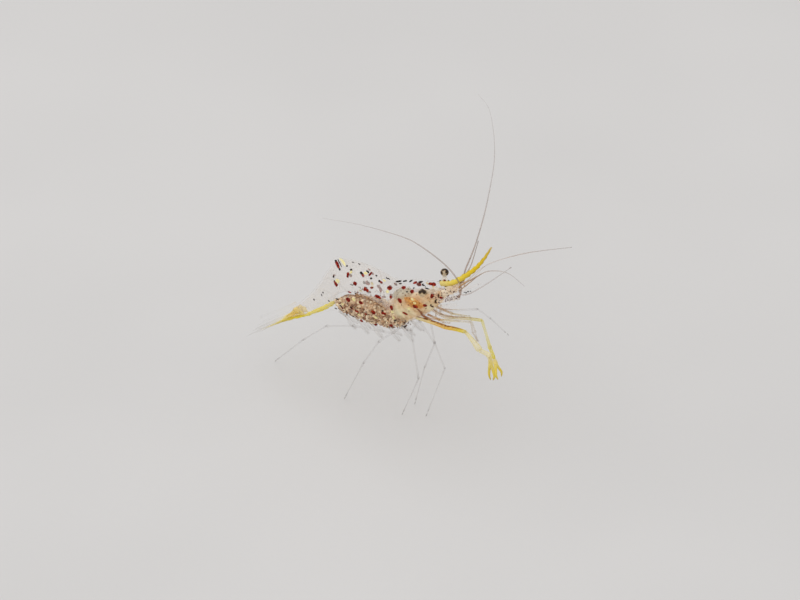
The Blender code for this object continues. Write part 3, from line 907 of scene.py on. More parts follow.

# The eggs' emission is a painted glow in their own colour, standing in for light scattered through the
# yolk.
egg_finish, tree, shader = start_finish("egg", 0.3, IOR=1.38, Emission_Strength=SCATTER_GLOW, Alpha=0.92)
cleared = ramp(tree, painted(tree, "pole"), (0.45, 0.0), (0.95, 0.65))
tone = blend(tree, cleared, ramp(tree, painted(tree, "tone"), *YOLKS), EGG_CLEARED)
streaks = ramp(tree, grain(tree, 0.5, 4.0), (0.5, 0.0), (0.7, 0.6))
streaked = blend(tree, streaks, tone, EGG_STREAK)
dress(shader, Base_Color=streaked, Emission_Color=streaked)
bumps(tree, shader, grain(tree, 0.08), 0.01)
place_piece("eggs", eggs, egg_finish, "eggs", "egg_clutch")
dark_finish, tree, shader = start_finish("embryo_eye", 0.2)
dress(shader, Base_Color=ramp(tree, grain(tree, 0.1), *EMBRYO_EYES))
place_piece("egg_eyes", eyes, dark_finish, "eggs")
print("eggs ready")

# %% Core of the clutch
CORE_DEPTH = 0.46  # from the shell to the core
CORE_ROWS, CORE_POINTS = 24, 10
CORE_ALONG, CORE_HEIGHTS = (0.12, 4.5), (0.04, 0.97)
CORE_TONES = ((0.3, (0.46, 0.27, 0.14)), (0.7, (0.72, 0.52, 0.32)))
rows = []
for share in shares_of(range(CORE_ROWS)):
    along = mix(*CORE_ALONG, share)
    heights = [mix(*CORE_HEIGHTS, height) for height in shares_of(range(CORE_POINTS))]
    left = [clutch_point(along, height, 1, CORE_DEPTH) for height in heights]
    rows.append(left + [mirrored(point, -1) for point in reversed(left)])
shape = bmesh.new()
closed_skin(shape, rows)
core_finish, tree, shader = start_finish("egg_core", 0.6)
dress(shader, Base_Color=ramp(tree, grain(tree, 0.25, 3.0), *CORE_TONES))
bumps(tree, shader, grain(tree, 0.25, 3.0), 0.05)
place_piece("egg_core", shape, core_finish, "eggs")
print("core rows:", len(rows))

# %% Cords over the clutch
# Brown cords of tissue lie along the top of the clutch.
CORDS = (
    ((-8.1, 14.95), (-7.1, 15.75), (-6.0, 16.2)), ((-5.9, 16.2), (-4.6, 16.5), (-3.5, 16.75)),
    ((-3.9, 16.65), (-2.6, 16.85), (-1.2, 16.6), (-0.4, 16.3)), ((-2.6, 16.6), (-1.6, 16.55), (-0.6, 16.2)),
)
CORD_TONES = ((0.2, 0.08, 0.04), (0.52, 0.31, 0.15))
shape = bmesh.new()
for number, points in enumerate(CORDS):
    line = smooth_path([(x, -0.15 - 0.15 * number, z) for x, z in points], 10)
    radii = [0.05 + 0.06 * math.sin(math.pi * share) for share in shares_of(line)]
    tube(shape, line, radii, fullness=[1.0] * len(line))
place_piece("clutch_cords", shape, tissue_finish("brown_cord", CORD_TONES, 0.95, 0.6, 0.3), "eggs")
print("cords:", len(CORDS))

# %% [markdown]
# ## Pigment along a piece
#
# Beak, tail, claws and feelers all change colour along their length, from pale to deep yellow or from
# clear to grey. Each carries its own share of length at every point, so one kind of finish serves them
# all: it looks colour and strength up by that share, then breaks them with patches of darker pigment.

# %% Pigment finish
def pigment_finish(name, colours, strengths, dark=(0.3, 0.13, 0.02), patches=0.4, size=0.3):
    """Coloured horn. colours and strengths are (share along the piece, value) stops."""
    finish, tree, shader = start_finish(name, 0.28, IOR=1.42)
    along, line = painted(tree, "along"), painted(tree, "line")
    cloud = grain(tree, size, 3.0)
    patchy = ramp(tree, cloud, (0.5, 0.0), (0.72, patches))
    marked = blend(tree, line, blend(tree, patchy, ramp(tree, along, *colours), dark), dark)
    strength = times(tree, ramp(tree, along, *strengths), ramp(tree, cloud, (0.25, 0.8), (0.5, 1.0)))
    held = times(tree, strength, maths(tree, "SUBTRACT", 1.0, painted(tree, "fade")))
    dress(shader, Base_Color=marked, Alpha=maths(tree, "MAXIMUM", held, line))
    bumps(tree, shader, grain(tree, size * 0.4, 3.0), 0.02)
    return finish


print("pigment finish ready")

# %% [markdown]
# ## The beak
#
# The rostrum is a blade, tall and thin, that bends up in front of the eyes. Its saw teeth lean forward.
# An extruded outline would have square edges, so it is skinned instead from sections like a lens, whose
# upper and lower edges rise and fall with the teeth.

# %% Rostrum
ROSTRUM_PATH = ((7.2, 22.75), (8.9, 23.45), (10.6, 25.0), (12.3, 26.9), (13.6, 28.9), (14.7, 31.1))
BEAK_DEPTHS, BEAK_WALLS = (0.74, 0.2), (0.34, 0.12)  # at the root and at the tip
BEAK_EDGE = 0.01  # half thickness of its sharp edges
BEAK_TEETH, TOOTH, TOOTH_RISE = 11, 0.19, 0.72
BEAK_UNDERSHADE = (0, 0, 0.05, 0.25, 0.4, 0.25, 0.05, 0)  # painted shade: how much darker a section is, round from its top, deepest along its lower edge


def saw(place):
    """One tooth for each whole number: a long rise and a short fall ahead of it."""
    part = place % 1
    return part / TOOTH_RISE if part < TOOTH_RISE else (1 - part) / (1 - TOOTH_RISE)


path = smooth_path([(x, 0, z) for x, z in ROSTRUM_PATH], 30)
rows, fades = [], []
for point, (_, side, lift), t in zip(path, frames_along(path), shares_of(path)):
    half = mix(*BEAK_DEPTHS, t**1.3) / 2
    wall = mix(*BEAK_WALLS, t) / 2
    above = TOOTH * saw(t * BEAK_TEETH) * clamp(1 - t) ** 0.5
    under = TOOTH * 0.8 * saw(t * BEAK_TEETH + 0.4) * clamp((t - 0.25) / 0.1) * clamp(1 - t) ** 0.5
    upper, middle, lower = half * 0.75, half * 0.1, -half * 0.7
    heights = (half + above, upper, middle, lower, -half - under, lower, middle, upper)
    widths = (BEAK_EDGE, wall * 0.5, wall, wall * 0.55, BEAK_EDGE, -wall * 0.55, -wall, -wall * 0.5)
    rows.append([point + lift * h + side * w for h, w in zip(heights, widths)])
    fades.append([0.45 * clamp(above / 0.08), 0, 0, 0, 0, 0, 0, 0])
shape = bmesh.new()
# The line painted on the beak is shade along its lower edge, in the finish's darker gold.
alongs = [[t] * len(BEAK_UNDERSHADE) for t in shares_of(path)]
closed_skin(shape, rows, along=alongs, line=[BEAK_UNDERSHADE] * len(rows), fade=fades)
beak_finish = pigment_finish(
    "beak_yellow",
    (
        (0.0, (0.95, 0.8, 0.27)), (0.3, (0.95, 0.76, 0.1)), (0.6, (0.92, 0.67, 0.02)),
        (0.95, (0.74, 0.52, 0.05)),
    ),
    ((0.0, 0.75), (0.25, 0.97), (0.9, 0.97), (1.0, 0.45)),
    dark=(0.58, 0.38, 0.02),
)
place_piece("beak", shape, beak_finish, "shell_yellow", "rostrum")
print("beak steps:", len(path))

# %% [markdown]
# ## Eyes
#
# Each eye is a ball of facets on a stalk. A dark cap sits on top, with a pale olive band under it that
# makes the eye look half closed. The cap is painted by direction from the ball's centre, and the right eye
# mirrors the left one.

# %% Finish of the eyes
CORNEA = (
    (0.15, (0.72, 0.58, 0.38)), (0.42, (0.42, 0.31, 0.16)), (0.6, (0.11, 0.06, 0.03)),
    (0.74, (0.032, 0.018, 0.009)),
)
FACET = 0.07

eye_finish, tree, shader = start_finish("banded_eye", 0.2, IOR=1.45, Coat_Weight=0.1)
wavy = plus(tree, painted(tree, "blot"), times(tree, grain(tree, 0.2, 3.0), 0.4))
dress(shader, Base_Color=ramp(tree, wavy, *CORNEA), Alpha=ramp(tree, wavy, (0.2, 0.6), (0.6, 1.0)))
facets = add(tree, "TexVoronoi", {"Vector": own_place(tree), "Scale": 1 / (FACET * MM)})
bumps(tree, shader, facets.outputs["Distance"], 0.02)
print("eye finish ready")

# %% Eyes
EYEBALL = (0.56, 0.54, 0.5)
# Dark blots on the left eye: the way out from its centre, and the size. The right eye mirrors them.
EYE_BLOTS = (
    (-0.47, -0.86, 0.21, 0.5), (-0.24, -0.28, 0.93, 0.42), (0.38, 0.14, 0.91, 0.5),
    (0.77, -0.28, 0.57, 0.4), (0.95, -0.3, -0.08, 0.32), (-0.25, 0.72, 0.64, 0.46), (0.12, 0.47, 0.87, 0.4),
    (0.71, 0.3, 0.65, 0.4),
)


def blot(way, sign):
    """How dark the eye is at way from its centre."""
    way = mirrored(way, sign)
    near = max(1 - (way - Vector((x, y, z))).length / size * 0.75 for x, y, z, size in EYE_BLOTS)
    return clamp(1.3 * near + 0.2 * noise(way * 2.5))


for name, sign in SIDES.items():
    shape = bmesh.new()
    ball(shape, mirrored(EYE, sign), EYEBALL, rows=24, sides=36, blot=lambda way: blot(way, sign))
    place_piece(f"{name}_eyeball", shape, eye_finish, "eye", f"{name}_eye")
print("blots on each eye:", len(EYE_BLOTS))

# %% Eye stalks
STALK_ROOT = (7.45, 0.55, 22.2)
STALK_RADII = (0.22, 0.42, 0.5, 0.44, 0.33, 0.27, 0.24)
STALK_WAIST = 0.42  # share of a stalk's length at which it bears its coloured spots
stalk_finish = pigment_finish(
    "eye_stalk",
    ((0.0, (0.9, 0.8, 0.5)), (0.5, (0.92, 0.86, 0.72)), (0.8, (0.76, 0.66, 0.5)), (1.0, (0.5, 0.4, 0.26))),
    ((0.0, 0.05), (0.25, 0.24), (0.6, 0.34), (0.85, 0.55), (1.0, 0.85)),
    dark=(0.25, 0.1, 0.05),
)
stalk_waists = {}
for name, sign in SIDES.items():
    root = mirrored(STALK_ROOT, sign)
    end = mirrored(EYE, sign).lerp(root, 0.18)
    path = smooth_path((root, root.lerp(end, 0.5) + Vector((0, 0, 0.06)), end), 12)
    stalk_waists[name] = path[int(len(path) * STALK_WAIST)]
    shares = shares_of(path)
    shape = bmesh.new()
    tube(shape, path, read_along(STALK_RADII, shares), 20, along=shares)
    place_piece(f"{name}_stalk", shape, stalk_finish, "shell_clear", f"{name}_eye_stalk")
print("eye stalks ready")

# %% [markdown]
# ## Tail fan and swimmerets
#
# Fins and paddles are thin leaves. The tail's five leaves lie folded over one another, and the pigment
# runs down their middles, so edge on they look like one yellow blade that fades to clear grey. The
# swimmerets hang below the eggs, two small leaves on each stem. All but the telson, the middle leaf of the
# tail, end in a fringe of fine bristles. The telson ends in spines.

# %% Leaves and bristles
Leaf = namedtuple("Leaf", "grid across")
LEAF_ROWS, LEAF_POINTS = 29, 14
BRISTLE_GIRTH = 0.012


def leaf(shape, root, along, across, length, width, wall=0.12, camber=0.1, slope=0.0):
    """A thin leaf, thickest along its middle, that ends round. slope cuts its tip off at a slant."""
    along = Vector(along).normalized()
    across = (Vector(across) - Vector(across).dot(along) * along).normalized()
    through = along.cross(across)
    turns = around(LEAF_POINTS)
    rows, shares = [], shares_of(range(LEAF_ROWS))
    for t in shares:
        tip = math.sqrt(max(0.004, 1 - (max(0, t - 0.55) / 0.455) ** 2))
        half = width / 2 * min(1, 0.5 + 1.4 * t) * tip
        row = []
        for a in turns:
            place = math.cos(a)
            thick = wall / 2 * math.sin(a) * (1 - 0.35 * t)
            reach = length * (t - slope * place * t**3 * 0.12)
            bend = camber * length * 0.1 * (place**2 - 0.4) - camber * length * 0.12 * t**2
            row.append(Vector(root) + along * reach + across * half * place + through * (thick + bend))
        rows.append(row)
    fade = [clamp(abs(math.cos(a)) ** 1.6) for a in turns]
    closed_skin(shape, rows, along=[[t] * LEAF_POINTS for t in shares], fade=[fade] * LEAF_ROWS)
    return Leaf(rows, across)


def fringe(shape, made, length, gap, start=0.35):
    """Bristles along both edges and the end of a leaf."""
    chance = random.Random(3)
    for edge, sign in ((0, 1), (LEAF_POINTS // 2, -1)):
        line = [row[edge] for row in made.grid]
        since = 0.0
        for a, b in list(zip(line, line[1:]))[int(start * len(line)):]:
            run = (b - a).normalized()
            since += (b - a).length
            while since > gap:
                since -= gap
                root = b - run * min(since, (b - a).length)
                out = (run * 1.2 + made.across * sign * 0.8).normalized()
                tip = root + out * length * chance.uniform(0.7, 1.1)
                needle(shape, root, tip, BRISTLE_GIRTH, along=1.0, fade=0.0)


print("leaf builders ready")

# %% Finishes of the fins
FIN_YELLOWS = (
    (0.0, (0.8, 0.55, 0.1)), (0.3, (0.88, 0.71, 0.1)), (0.5, (0.78, 0.66, 0.34)), (0.8, (0.48, 0.46, 0.41)),
)
FIN_DARK = (0.33, 0.22, 0.03)
FIN_STRENGTHS = ((0.0, 0.8), (0.3, 0.65), (0.5, 0.2), (0.9, 0.16))
FAINT_STRENGTHS = ((0.0, 0.1), (0.2, 0.04), (0.6, 0.02), (1.0, 0.04))
fin_finish = pigment_finish("fin_yellow", FIN_YELLOWS, FIN_STRENGTHS, FIN_DARK)
clear_fin_finish = pigment_finish("fin_clear", FIN_YELLOWS, FAINT_STRENGTHS, FIN_DARK, 0.2)
print("fin finishes ready")

# %% Tail fan
TAIL_ROOT = (-14.95, 10.95)
TAIL_PITCH, TAIL_SWING = 38, -7  # how far the fan points down, and to the left
TELSON = (6.6, 1.3)  # length and width
INNER_FIN = (7.4, 1.4, 3, 0.57, 0.58)  # length, width, sideways turn, place beside and drop below
OUTER_FIN = (8.7, 1.9, 6, 0.62, 1.16)
LEAF_SHARES = (0.93, 0.75)  # how much of a fin's length and width the leaf takes, inside its fringe
FAN_SHUT = 0.25  # how far the left fins slide in under the telson
BACK_SPINES = (0.62, 0.8)  # shares of the telson's length at which a pair of spines stands
END_SPINES = ((-0.4, 0.3), (-0.2, 0.42), (0.2, 0.42), (0.4, 0.3))  # place across its end, and length


def direction(pitch, turn=0):
    """Points back, down by pitch and out to the left by turn, in degrees."""
    pitch, turn = math.radians(pitch), math.radians(turn)
    return Vector((-math.cos(pitch) * math.cos(turn), math.sin(turn), -math.sin(pitch) * math.cos(turn)))


down = Vector((math.sin(math.radians(TAIL_PITCH)), 0, -math.cos(math.radians(TAIL_PITCH))))
top = Vector((TAIL_ROOT[0], 0, TAIL_ROOT[1])) - down * INNER_FIN[-1]
across = Vector((0, 1, 0))
along = direction(TAIL_PITCH, TAIL_SWING)
shape = bmesh.new()
leaf(shape, top + down * 0.1, along, across, *TELSON, wall=0.3, camber=0.4)
for reach in BACK_SPINES:
    for sign in SIDES.values():
        spot = top + along * TELSON[0] * reach + across * sign * 0.42 - down * 0.05
        needle(shape, spot, spot + along * 0.3 - down * 0.08, 0.035, along=1.0, fade=0.0)
for beside, reach in END_SPINES:
    spot = top + along * TELSON[0] * 0.985 + across * beside * 0.5
    needle(shape, spot, spot + along * reach, 0.03, along=1.0, fade=0.0)
place_piece("telson_plate", shape, clear_fin_finish, "shell_clear", "telson")
for name, sign in SIDES.items():
    for kind, (length, width, turn, beside, drop) in (("inner", INNER_FIN), ("outer", OUTER_FIN)):
        shape = bmesh.new()
        root = top + down * drop + across * sign * beside
        root -= across * FAN_SHUT * (sign > 0)
        along = direction(TAIL_PITCH, TAIL_SWING + min(sign * turn, 0))
        size = (length * LEAF_SHARES[0], width * LEAF_SHARES[1])
        made = leaf(shape, root, along, across, *size, wall=0.16, slope=sign if kind == "outer" else 0)
        fringe(shape, made, 0.36, 0.11, start=0.5)
        finish = fin_finish if kind == "outer" else clear_fin_finish
        place_piece(f"{name}_{kind}_fin", shape, finish, "shell_yellow", f"{name}_tail_fin_{kind}")
print("tail fan ready")

# %% Pigment under the tail
# A yellow cord of pigment runs along the belly to the tail, and ends in tan patches over the fins' stems.
BELLY_STREAK = (
    (-8.5, 0.0, 14.3), (-9.3, 0.0, 13.65), (-10.2, 0.0, 12.8), (-11.2, 0.0, 11.95), (-12.4, 0.0, 11.05),
    (-13.5, -0.1, 10.2), (-14.9, -0.3, 9.45), (-16.4, -0.55, 8.6), (-18.0, -0.85, 7.5), (-20.2, -1.2, 5.9),
)
STREAK_GIRTH = (0.16, 0.3, 0.38, 0.38, 0.3, 0.24, 0.26, 0.24, 0.16, 0.06)
STREAK_LUMPS = 22  # lumps along its length
line = smooth_path(BELLY_STREAK, 12)
shares = shares_of(line)
lumps = [1 + 0.5 * noise(Vector((t * STREAK_LUMPS, 0, 0))) for t in shares]
girths = [girth * lump for girth, lump in zip(read_along(STREAK_GIRTH, shares), lumps)]
shape = bmesh.new()
tube(shape, line, girths, 14, flat=0.8, along=shares)
streak_finish = pigment_finish(
    "belly_streak",
    (
        (0.0, (0.86, 0.74, 0.26)), (0.25, (0.92, 0.76, 0.03)), (0.6, (0.9, 0.76, 0.04)),
        (1.0, (0.78, 0.68, 0.3)),
    ),
    ((0.0, 0.5), (0.12, 1.0), (0.4, 1.0), (0.7, 1.0), (0.85, 0.85), (1.0, 0.1)),
    dark=(0.4, 0.26, 0.01),
    patches=0.6,
    size=0.25,
)
place_piece("belly_streak", shape, streak_finish, "shell_yellow")
print("belly streak ready")

# %% Stems of the fins
FIN_STEM = ((-13.6, 10.3), (-14.6, 10.35), (-15.6, 9.65), (-17.2, 8.3))
FIN_STEM_BESIDE, FIN_STEM_GIRTH = 0.36, (0.1, 0.4, 0.72, 0.58, 0.38, 0.22, 0.1)
TANS = ((0.5, 0.34, 0.12), (0.88, 0.71, 0.2), (0.66, 0.49, 0.2), (0.94, 0.79, 0.16))
shape = bmesh.new()
for sign in SIDES.values():
    sac(shape, FIN_STEM, sign * FIN_STEM_BESIDE, FIN_STEM_GIRTH, 0.5)
place_piece("fin_stems", shape, tissue_finish("tail_tan", TANS, 0.68, 0.1, 0.4), "shell_yellow")
print("fin stems ready")

# %% Swimmerets
PADDLE_LENGTHS, PADDLE_WIDTHS = (2.4, 1.92), (0.6, 0.42)  # of the outer and the inner leaf
PADDLE_PITCH, PADDLE_TURN = 146, 8
PADDLE_SPREAD, PADDLE_DROP = 1.05, 0.75  # place beside the midline, and below the rim of the ring
PADDLE_STEM = 0.9  # length of a stem above its leaves
paddle_finish = pigment_finish(
    "paddle",
    ((0.0, (0.55, 0.5, 0.42)), (0.8, (0.55, 0.53, 0.5)), (1.0, (0.4, 0.36, 0.33))),
    ((0.0, 0.25), (0.5, 0.1), (0.85, 0.16), (1.0, 0.35)),
    dark=(0.14, 0.08, 0.06),
    patches=0.5,
    size=0.35,
)
for name, sign in SIDES.items():
    shape = bmesh.new()
    for number in RINGS[:-1]:
        rib = ring_rib(number, 0.5)
        root = Vector((rib.rim[0], sign * PADDLE_SPREAD, rib.rim[1])) + hang_of(rib) * PADDLE_DROP
        along = direction(PADDLE_PITCH, sign * PADDLE_TURN)
        stem = (root - hang_of(rib) * PADDLE_STEM, root + along * 0.25)
        tube(shape, stem, (0.2, 0.15), along=(0.0, 0.2), fade=(0.0, 0.0))
        outer = leaf(shape, root, along, across, PADDLE_LENGTHS[0], PADDLE_WIDTHS[0], wall=0.06)
        fringe(shape, outer, 0.32, 0.09)
        root += Vector((0.12, -sign * 0.22, -0.08))
        along = direction(PADDLE_PITCH + 9, -sign * 4)
        inner = leaf(shape, root, along, across, PADDLE_LENGTHS[1], PADDLE_WIDTHS[1], wall=0.06)
        fringe(shape, inner, 0.26, 0.1)
    nodes = [f"{name}_swimmeret_{number}" for number in RINGS[:-1]]
    place_piece(f"{name}_swimmerets", shape, paddle_finish, "shell_clear", *nodes)
print("swimmerets ready")

# %% [markdown]
# ## Legs
#
# A leg is a row of stiff tubes. Each begins narrow inside the end of the one before and widens to its own
# far end, so where they overlap two clear walls lie over each other and the joint looks darker. Each leg
# ends in a thin dark claw. Five of the six stand on the floor, and the front left one is held up.

# %% Joints of the walking legs
LEGS = {
    "right_leg_3": ((4.6, -1.2, 16.75), (4.3, -2.5, 15.8), (5.3, -2.2, 8.2), (1.8, -0.7, 0.02)),
    "right_leg_4": (
        (3.6, -1.15, 16.35), (2.5, -2.4, 15.45), (0.4, -4.2, 13.5), (-2.1, -4.0, 9.0), (-6.6, -1.8, 0.02),
    ),
    "right_leg_5": (
        (2.6, -1.1, 15.7), (1.6, -2.5, 14.3), (-4.5, -2.8, 13.4), (-8.8, -2.6, 11.6), (-12.7, -2.3, 7.7),
        (-19.2, 0.4, 0.02),
    ),
    "left_leg_3": (
        (4.7, 1.2, 16.8), (6.0, 1.95, 16.8), (11.4, 2.4, 18.9), (12.5, 3.9, 16.9), (13.8, 6.4, 13.2),
    ),
    "left_leg_4": (
        (3.7, 1.15, 16.35), (4.3, 2.3, 14.6), (4.7, 2.8, 10.7), (6.4, 2.6, 7.3), (4.7, 0.7, 0.02),
    ),
    "left_leg_5": ((2.7, 1.1, 15.7), (3.4, 1.3, 14.5), (5.8, 1.0, 12.2), (3.7, 1.9, 6.9), (2.0, 2.2, 0.02)),
}
print("walking legs:", len(LEGS))

# %% Tubes of a limb
# The girth along one tube, as (share of its length, share of the limb's girth there).
SEGMENT = (
    (0, 0.7), (0.03, 0.95), (0.15, 0.88), (0.5, 0.84), (0.85, 0.95), (0.95, 1.25), (0.98, 1.3), (1, 0.95),
)


def bones(joints):
    """Each stretch between two joints: its ends, and the shares of the limb's length at which they lie."""
    joints = [Vector(joint) for joint in joints]
    spans = [(b - a).length for a, b in zip(joints, joints[1:])]
    gone = 0.0
    for a, b, span in zip(joints, joints[1:], spans):
        yield a, b, (gone / sum(spans), (gone + span) / sum(spans))
        gone += span


def segment(shape, start, end, first, last, alongs, sides=12, bow=0.0, profile=SEGMENT, **more):
    """One stiff tube of a limb, whose girth goes from first to last and follows the profile."""
    path = [start.lerp(end, t) + Vector((0, 0, bow)) * math.sin(math.pi * t) for t, _ in profile]
    radii = [mix(first, last, t) * girth for t, girth in profile]
    joint = [clamp(1 - t / 0.06) * 0.6 + clamp((t - 0.93) / 0.05) for t, _ in profile]
    values = [mix(*alongs, t) for t, _ in profile]
    tube(shape, path, radii, sides, along=values, joint=joint, **more)


print("limb builders ready")

# %% Walking legs
LEG_HORN, LEG_LINE = (0.5, 0.47, 0.45), (0.16, 0.13, 0.11)
LEG_STRENGTH, JOINT_STRENGTH = 0.12, 0.1
HIP_GIRTH, FOOT_GIRTH = 0.19, 0.075
CLAW_REACH, CLAW_GIRTHS = 0.85, (0.065, 0.02)
LEG_BRISTLE, BRISTLE_REACH, BRISTLE_LEAN = 0.014, 0.12, 0.2
BRISTLES = 0.8  # how many bristles there are on each millimetre of a leg
FOOT_SHARE, CLAW_SHARE = 0.95, 0.955  # where the finish ends on the foot, and where it begins on the claw

# Clear horn with darker joints and a dark tip.
walking_finish, tree, shader = start_finish("walking_leg", 0.2, IOR=1.4)
joint = painted(tree, "joint")
tip = ramp(tree, painted(tree, "along"), (0.975, 0.0), (0.99, 1.0))
dark = maths(tree, "MAXIMUM", times(tree, joint, 0.7), tip)
plain = blend(tree, grain(tree, 0.5, 3.0), tuple(0.8 * value for value in LEG_HORN), LEG_HORN)
wall = times(tree, plus(tree, 0.55, facing(tree, 0.35)), LEG_STRENGTH)
seen = plus(tree, plus(tree, wall, times(tree, joint, JOINT_STRENGTH)), times(tree, tip, 0.7), clamp=True)
dress(shader, Base_Color=blend(tree, dark, plain, LEG_LINE), Alpha=seen)
bumps(tree, shader, grain(tree, 0.15), 0.01)

chance = random.Random(11)
for name, joints in LEGS.items():
    foot = Vector(joints[-1])
    shape = bmesh.new()
    for a, b, shares in bones(joints):
        run = (b - a).normalized()
        end = b - run * CLAW_REACH if b == foot else b
        girths = [mix(HIP_GIRTH, FOOT_GIRTH, share**0.8) for share in shares]
        segment(shape, a, end, *girths, [share * FOOT_SHARE for share in shares])
        for _ in range(int((b - a).length * BRISTLES)):
            spot = a.lerp(end, chance.uniform(0.1, 0.95))
            out = run.cross(Vector(random_way(chance))).normalized()
            tip = spot + out * (girths[1] + BRISTLE_REACH) + run * BRISTLE_LEAN
            needle(shape, spot, tip, LEG_BRISTLE, along=0.5, joint=0.2)
    claw = smooth_path((end, end.lerp(foot, 0.5) + Vector((0.03, 0, 0.05)), foot), 5)
    shares = shares_of(claw)
    radii = [mix(*CLAW_GIRTHS, share) for share in shares]
    alongs = [mix(CLAW_SHARE, 1, share) for share in shares]
    tube(shape, claw, radii, 8, along=alongs, joint=[0.0] * len(claw))
    place_piece(f"{name}_tubes", shape, walking_finish, "limb_clear", name)
print("legs ready")

# %% [markdown]
# ## Pincers
#
# The long second pair of pincers is the animal's brightest part: an orange arm with brown lines on top, a
# pale swollen wrist, and a yellow claw. The first pair is thin and clear, and folds in between. Each claw
# is a palm that runs on into one finger, with the other hinged beside it.

# %% Joints of the long pincers
SECOND_PINCERS = {
    "right": (
        (4.4, -1.25, 17.1), (9.2, -1.8, 17.7), (12.4, -2.3, 18.5), (15.0, -3.0, 17.0), (16.4, -2.8, 16.5),
    ),
    "left": (
        (5.2, 1.2, 17.3), (8.3, 1.5, 16.9), (12.3, 2.0, 17.7), (13.6, 2.0, 13.7), (14.2, 2.0, 12.4),
    ),
}
ARM_GIRTHS = {"right": (0.24, 0.3, 0.24, 0.34, 0.36), "left": (0.2, 0.22, 0.2, 0.22, 0.24)}
ARM_MARKS = {"right": 1.0, "left": 0.9}  # how dark the brown lines are
ARM_BOWS = {"right": (0.08, 0.08, 0.08, 0.08), "left": (-0.4, 0.08, 0.08, 0.08)}
print("long pincers:", len(SECOND_PINCERS))

# %% Finish of the arms
CLOUD_BROWN, LINE_BROWN = (0.45, 0.2, 0.03), (0.22, 0.07, 0.02)


def arm_finish(name, colours, strengths):
    """Tinted horn with broken brown lines and denser joints."""
    finish, tree, shader = start_finish(name, 0.24, IOR=1.42)
    along, line, joint = (painted(tree, key) for key in ("along", "line", "joint"))
    clouded = ramp(tree, grain(tree, 0.4, 3.0), (0.45, 0.0), (0.75, 0.25))
    tone = blend(tree, clouded, ramp(tree, along, *colours), CLOUD_BROWN)
    broken = times(tree, line, ramp(tree, grain(tree, 0.5, 3.0), (0.35, 0.35), (0.55, 1.0)))
    wall = times(tree, ramp(tree, along, *strengths), plus(tree, 0.7, facing(tree, 0.4)))
    knot = plus(tree, times(tree, joint, 0.12), times(tree, broken, 0.5))
    marked, seen = blend(tree, broken, tone, LINE_BROWN), plus(tree, wall, knot, clamp=True)
    dress(shader, Base_Color=marked, Alpha=seen)
    bumps(tree, shader, grain(tree, 0.12), 0.01)
    return finish


arm_finishes = {
    "right": arm_finish(
        "right_arm",
        (
            (0.0, (0.9, 0.79, 0.38)), (0.16, (0.93, 0.72, 0.27)), (0.3, (0.92, 0.58, 0.15)),
            (0.46, (0.9, 0.59, 0.09)), (0.58, (0.89, 0.71, 0.06)), (0.68, (0.9, 0.8, 0.34)),
            (1.0, (0.92, 0.83, 0.44)),
        ),
        ((0.0, 0.5), (0.2, 0.8), (0.6, 0.85), (0.68, 0.5), (0.8, 0.4), (1.0, 0.5)),
    ),
    "left": arm_finish(
        "left_arm",
        (
            (0.0, (0.86, 0.66, 0.42)), (0.3, (0.86, 0.74, 0.38)), (0.55, (0.88, 0.82, 0.3)),
            (0.7, (0.9, 0.84, 0.36)), (1.0, (0.92, 0.8, 0.08)),
        ),
        ((0.0, 0.35), (0.3, 0.4), (0.55, 0.55), (0.7, 0.45), (1.0, 0.7)),
    ),
}
print("arm finishes ready")

# %% Arms
STRAIGHT = ((0, 0.85), (0.03, 0.95), (0.3, 1.0), (0.6, 1.0), (0.95, 1.02), (1, 0.9))
WIDE_END = ((0, 0.6), (0.05, 0.85), (0.3, 0.95), (0.6, 1.1), (0.85, 1.3), (0.95, 1.25), (1, 0.8))
ARM_PROFILES = {
    "right": (STRAIGHT, STRAIGHT, WIDE_END, SEGMENT),
    "left": (STRAIGHT, STRAIGHT, SEGMENT, STRAIGHT),
}


def top_lines(amount, fading):
    """How brown a tube is at a step along it and an angle round it. Fading lines end before its far end."""
    def strength(step, angle):
        stripes = bell(math.sin(angle), 0.95, 0.25) + 0.6 * bell(math.sin(angle), 0.1, 0.12)
        return amount * clamp(stripes) * (clamp(1.3 - 1.3 * step / 7) if fading else 1)

    return strength


for side, joints in SECOND_PINCERS.items():
    shape = bmesh.new()
    for i, (a, b, shares) in enumerate(bones(joints)):
        lines = top_lines(ARM_MARKS[side] * (i < 2), fading=i > 0)
        girths = ARM_GIRTHS[side][i:i + 2]
        segment(shape, a, b, *girths, shares, 20, ARM_BOWS[side][i], ARM_PROFILES[side][i], line=lines)
    place_piece(f"{side}_arm", shape, arm_finishes[side], "limb_amber", f"{side}_pincer_leg_2")
print("arms ready")

# %% Claws
CLAW_TIPS = {"right": (16.4, -2.2, 12.3), "left": (15.4, 1.6, 9.9)}
CLAW_GAPE = {"right": 0.15, "left": 0.5}
PALM_SHARE, PALM_OVER = 0.36, 1.25  # its share of the claw's length, and how far it runs into the fingers
PALM_COLOURS, FINGER_COLOURS = 0.45, 0.4  # share of the colours at which a palm ends, and a finger begins
PALM_GIRTHS = (0.14, 0.24, 0.31, 0.33, 0.3, 0.24)
FINGER_GIRTHS = (0.2, 0.19, 0.17, 0.14, 0.1, 0.04)
claw_finish = pigment_finish(
    "claw_yellow",
    (
        (0.0, (0.94, 0.8, 0.35)), (0.35, (0.95, 0.79, 0.21)), (0.6, (0.93, 0.74, 0.1)),
        (1.0, (0.67, 0.54, 0.08)),
    ),
    ((0.0, 0.7), (0.3, 0.85), (0.9, 0.92), (1.0, 0.75)),
    dark=(0.56, 0.38, 0.02),
    patches=0.35,
)


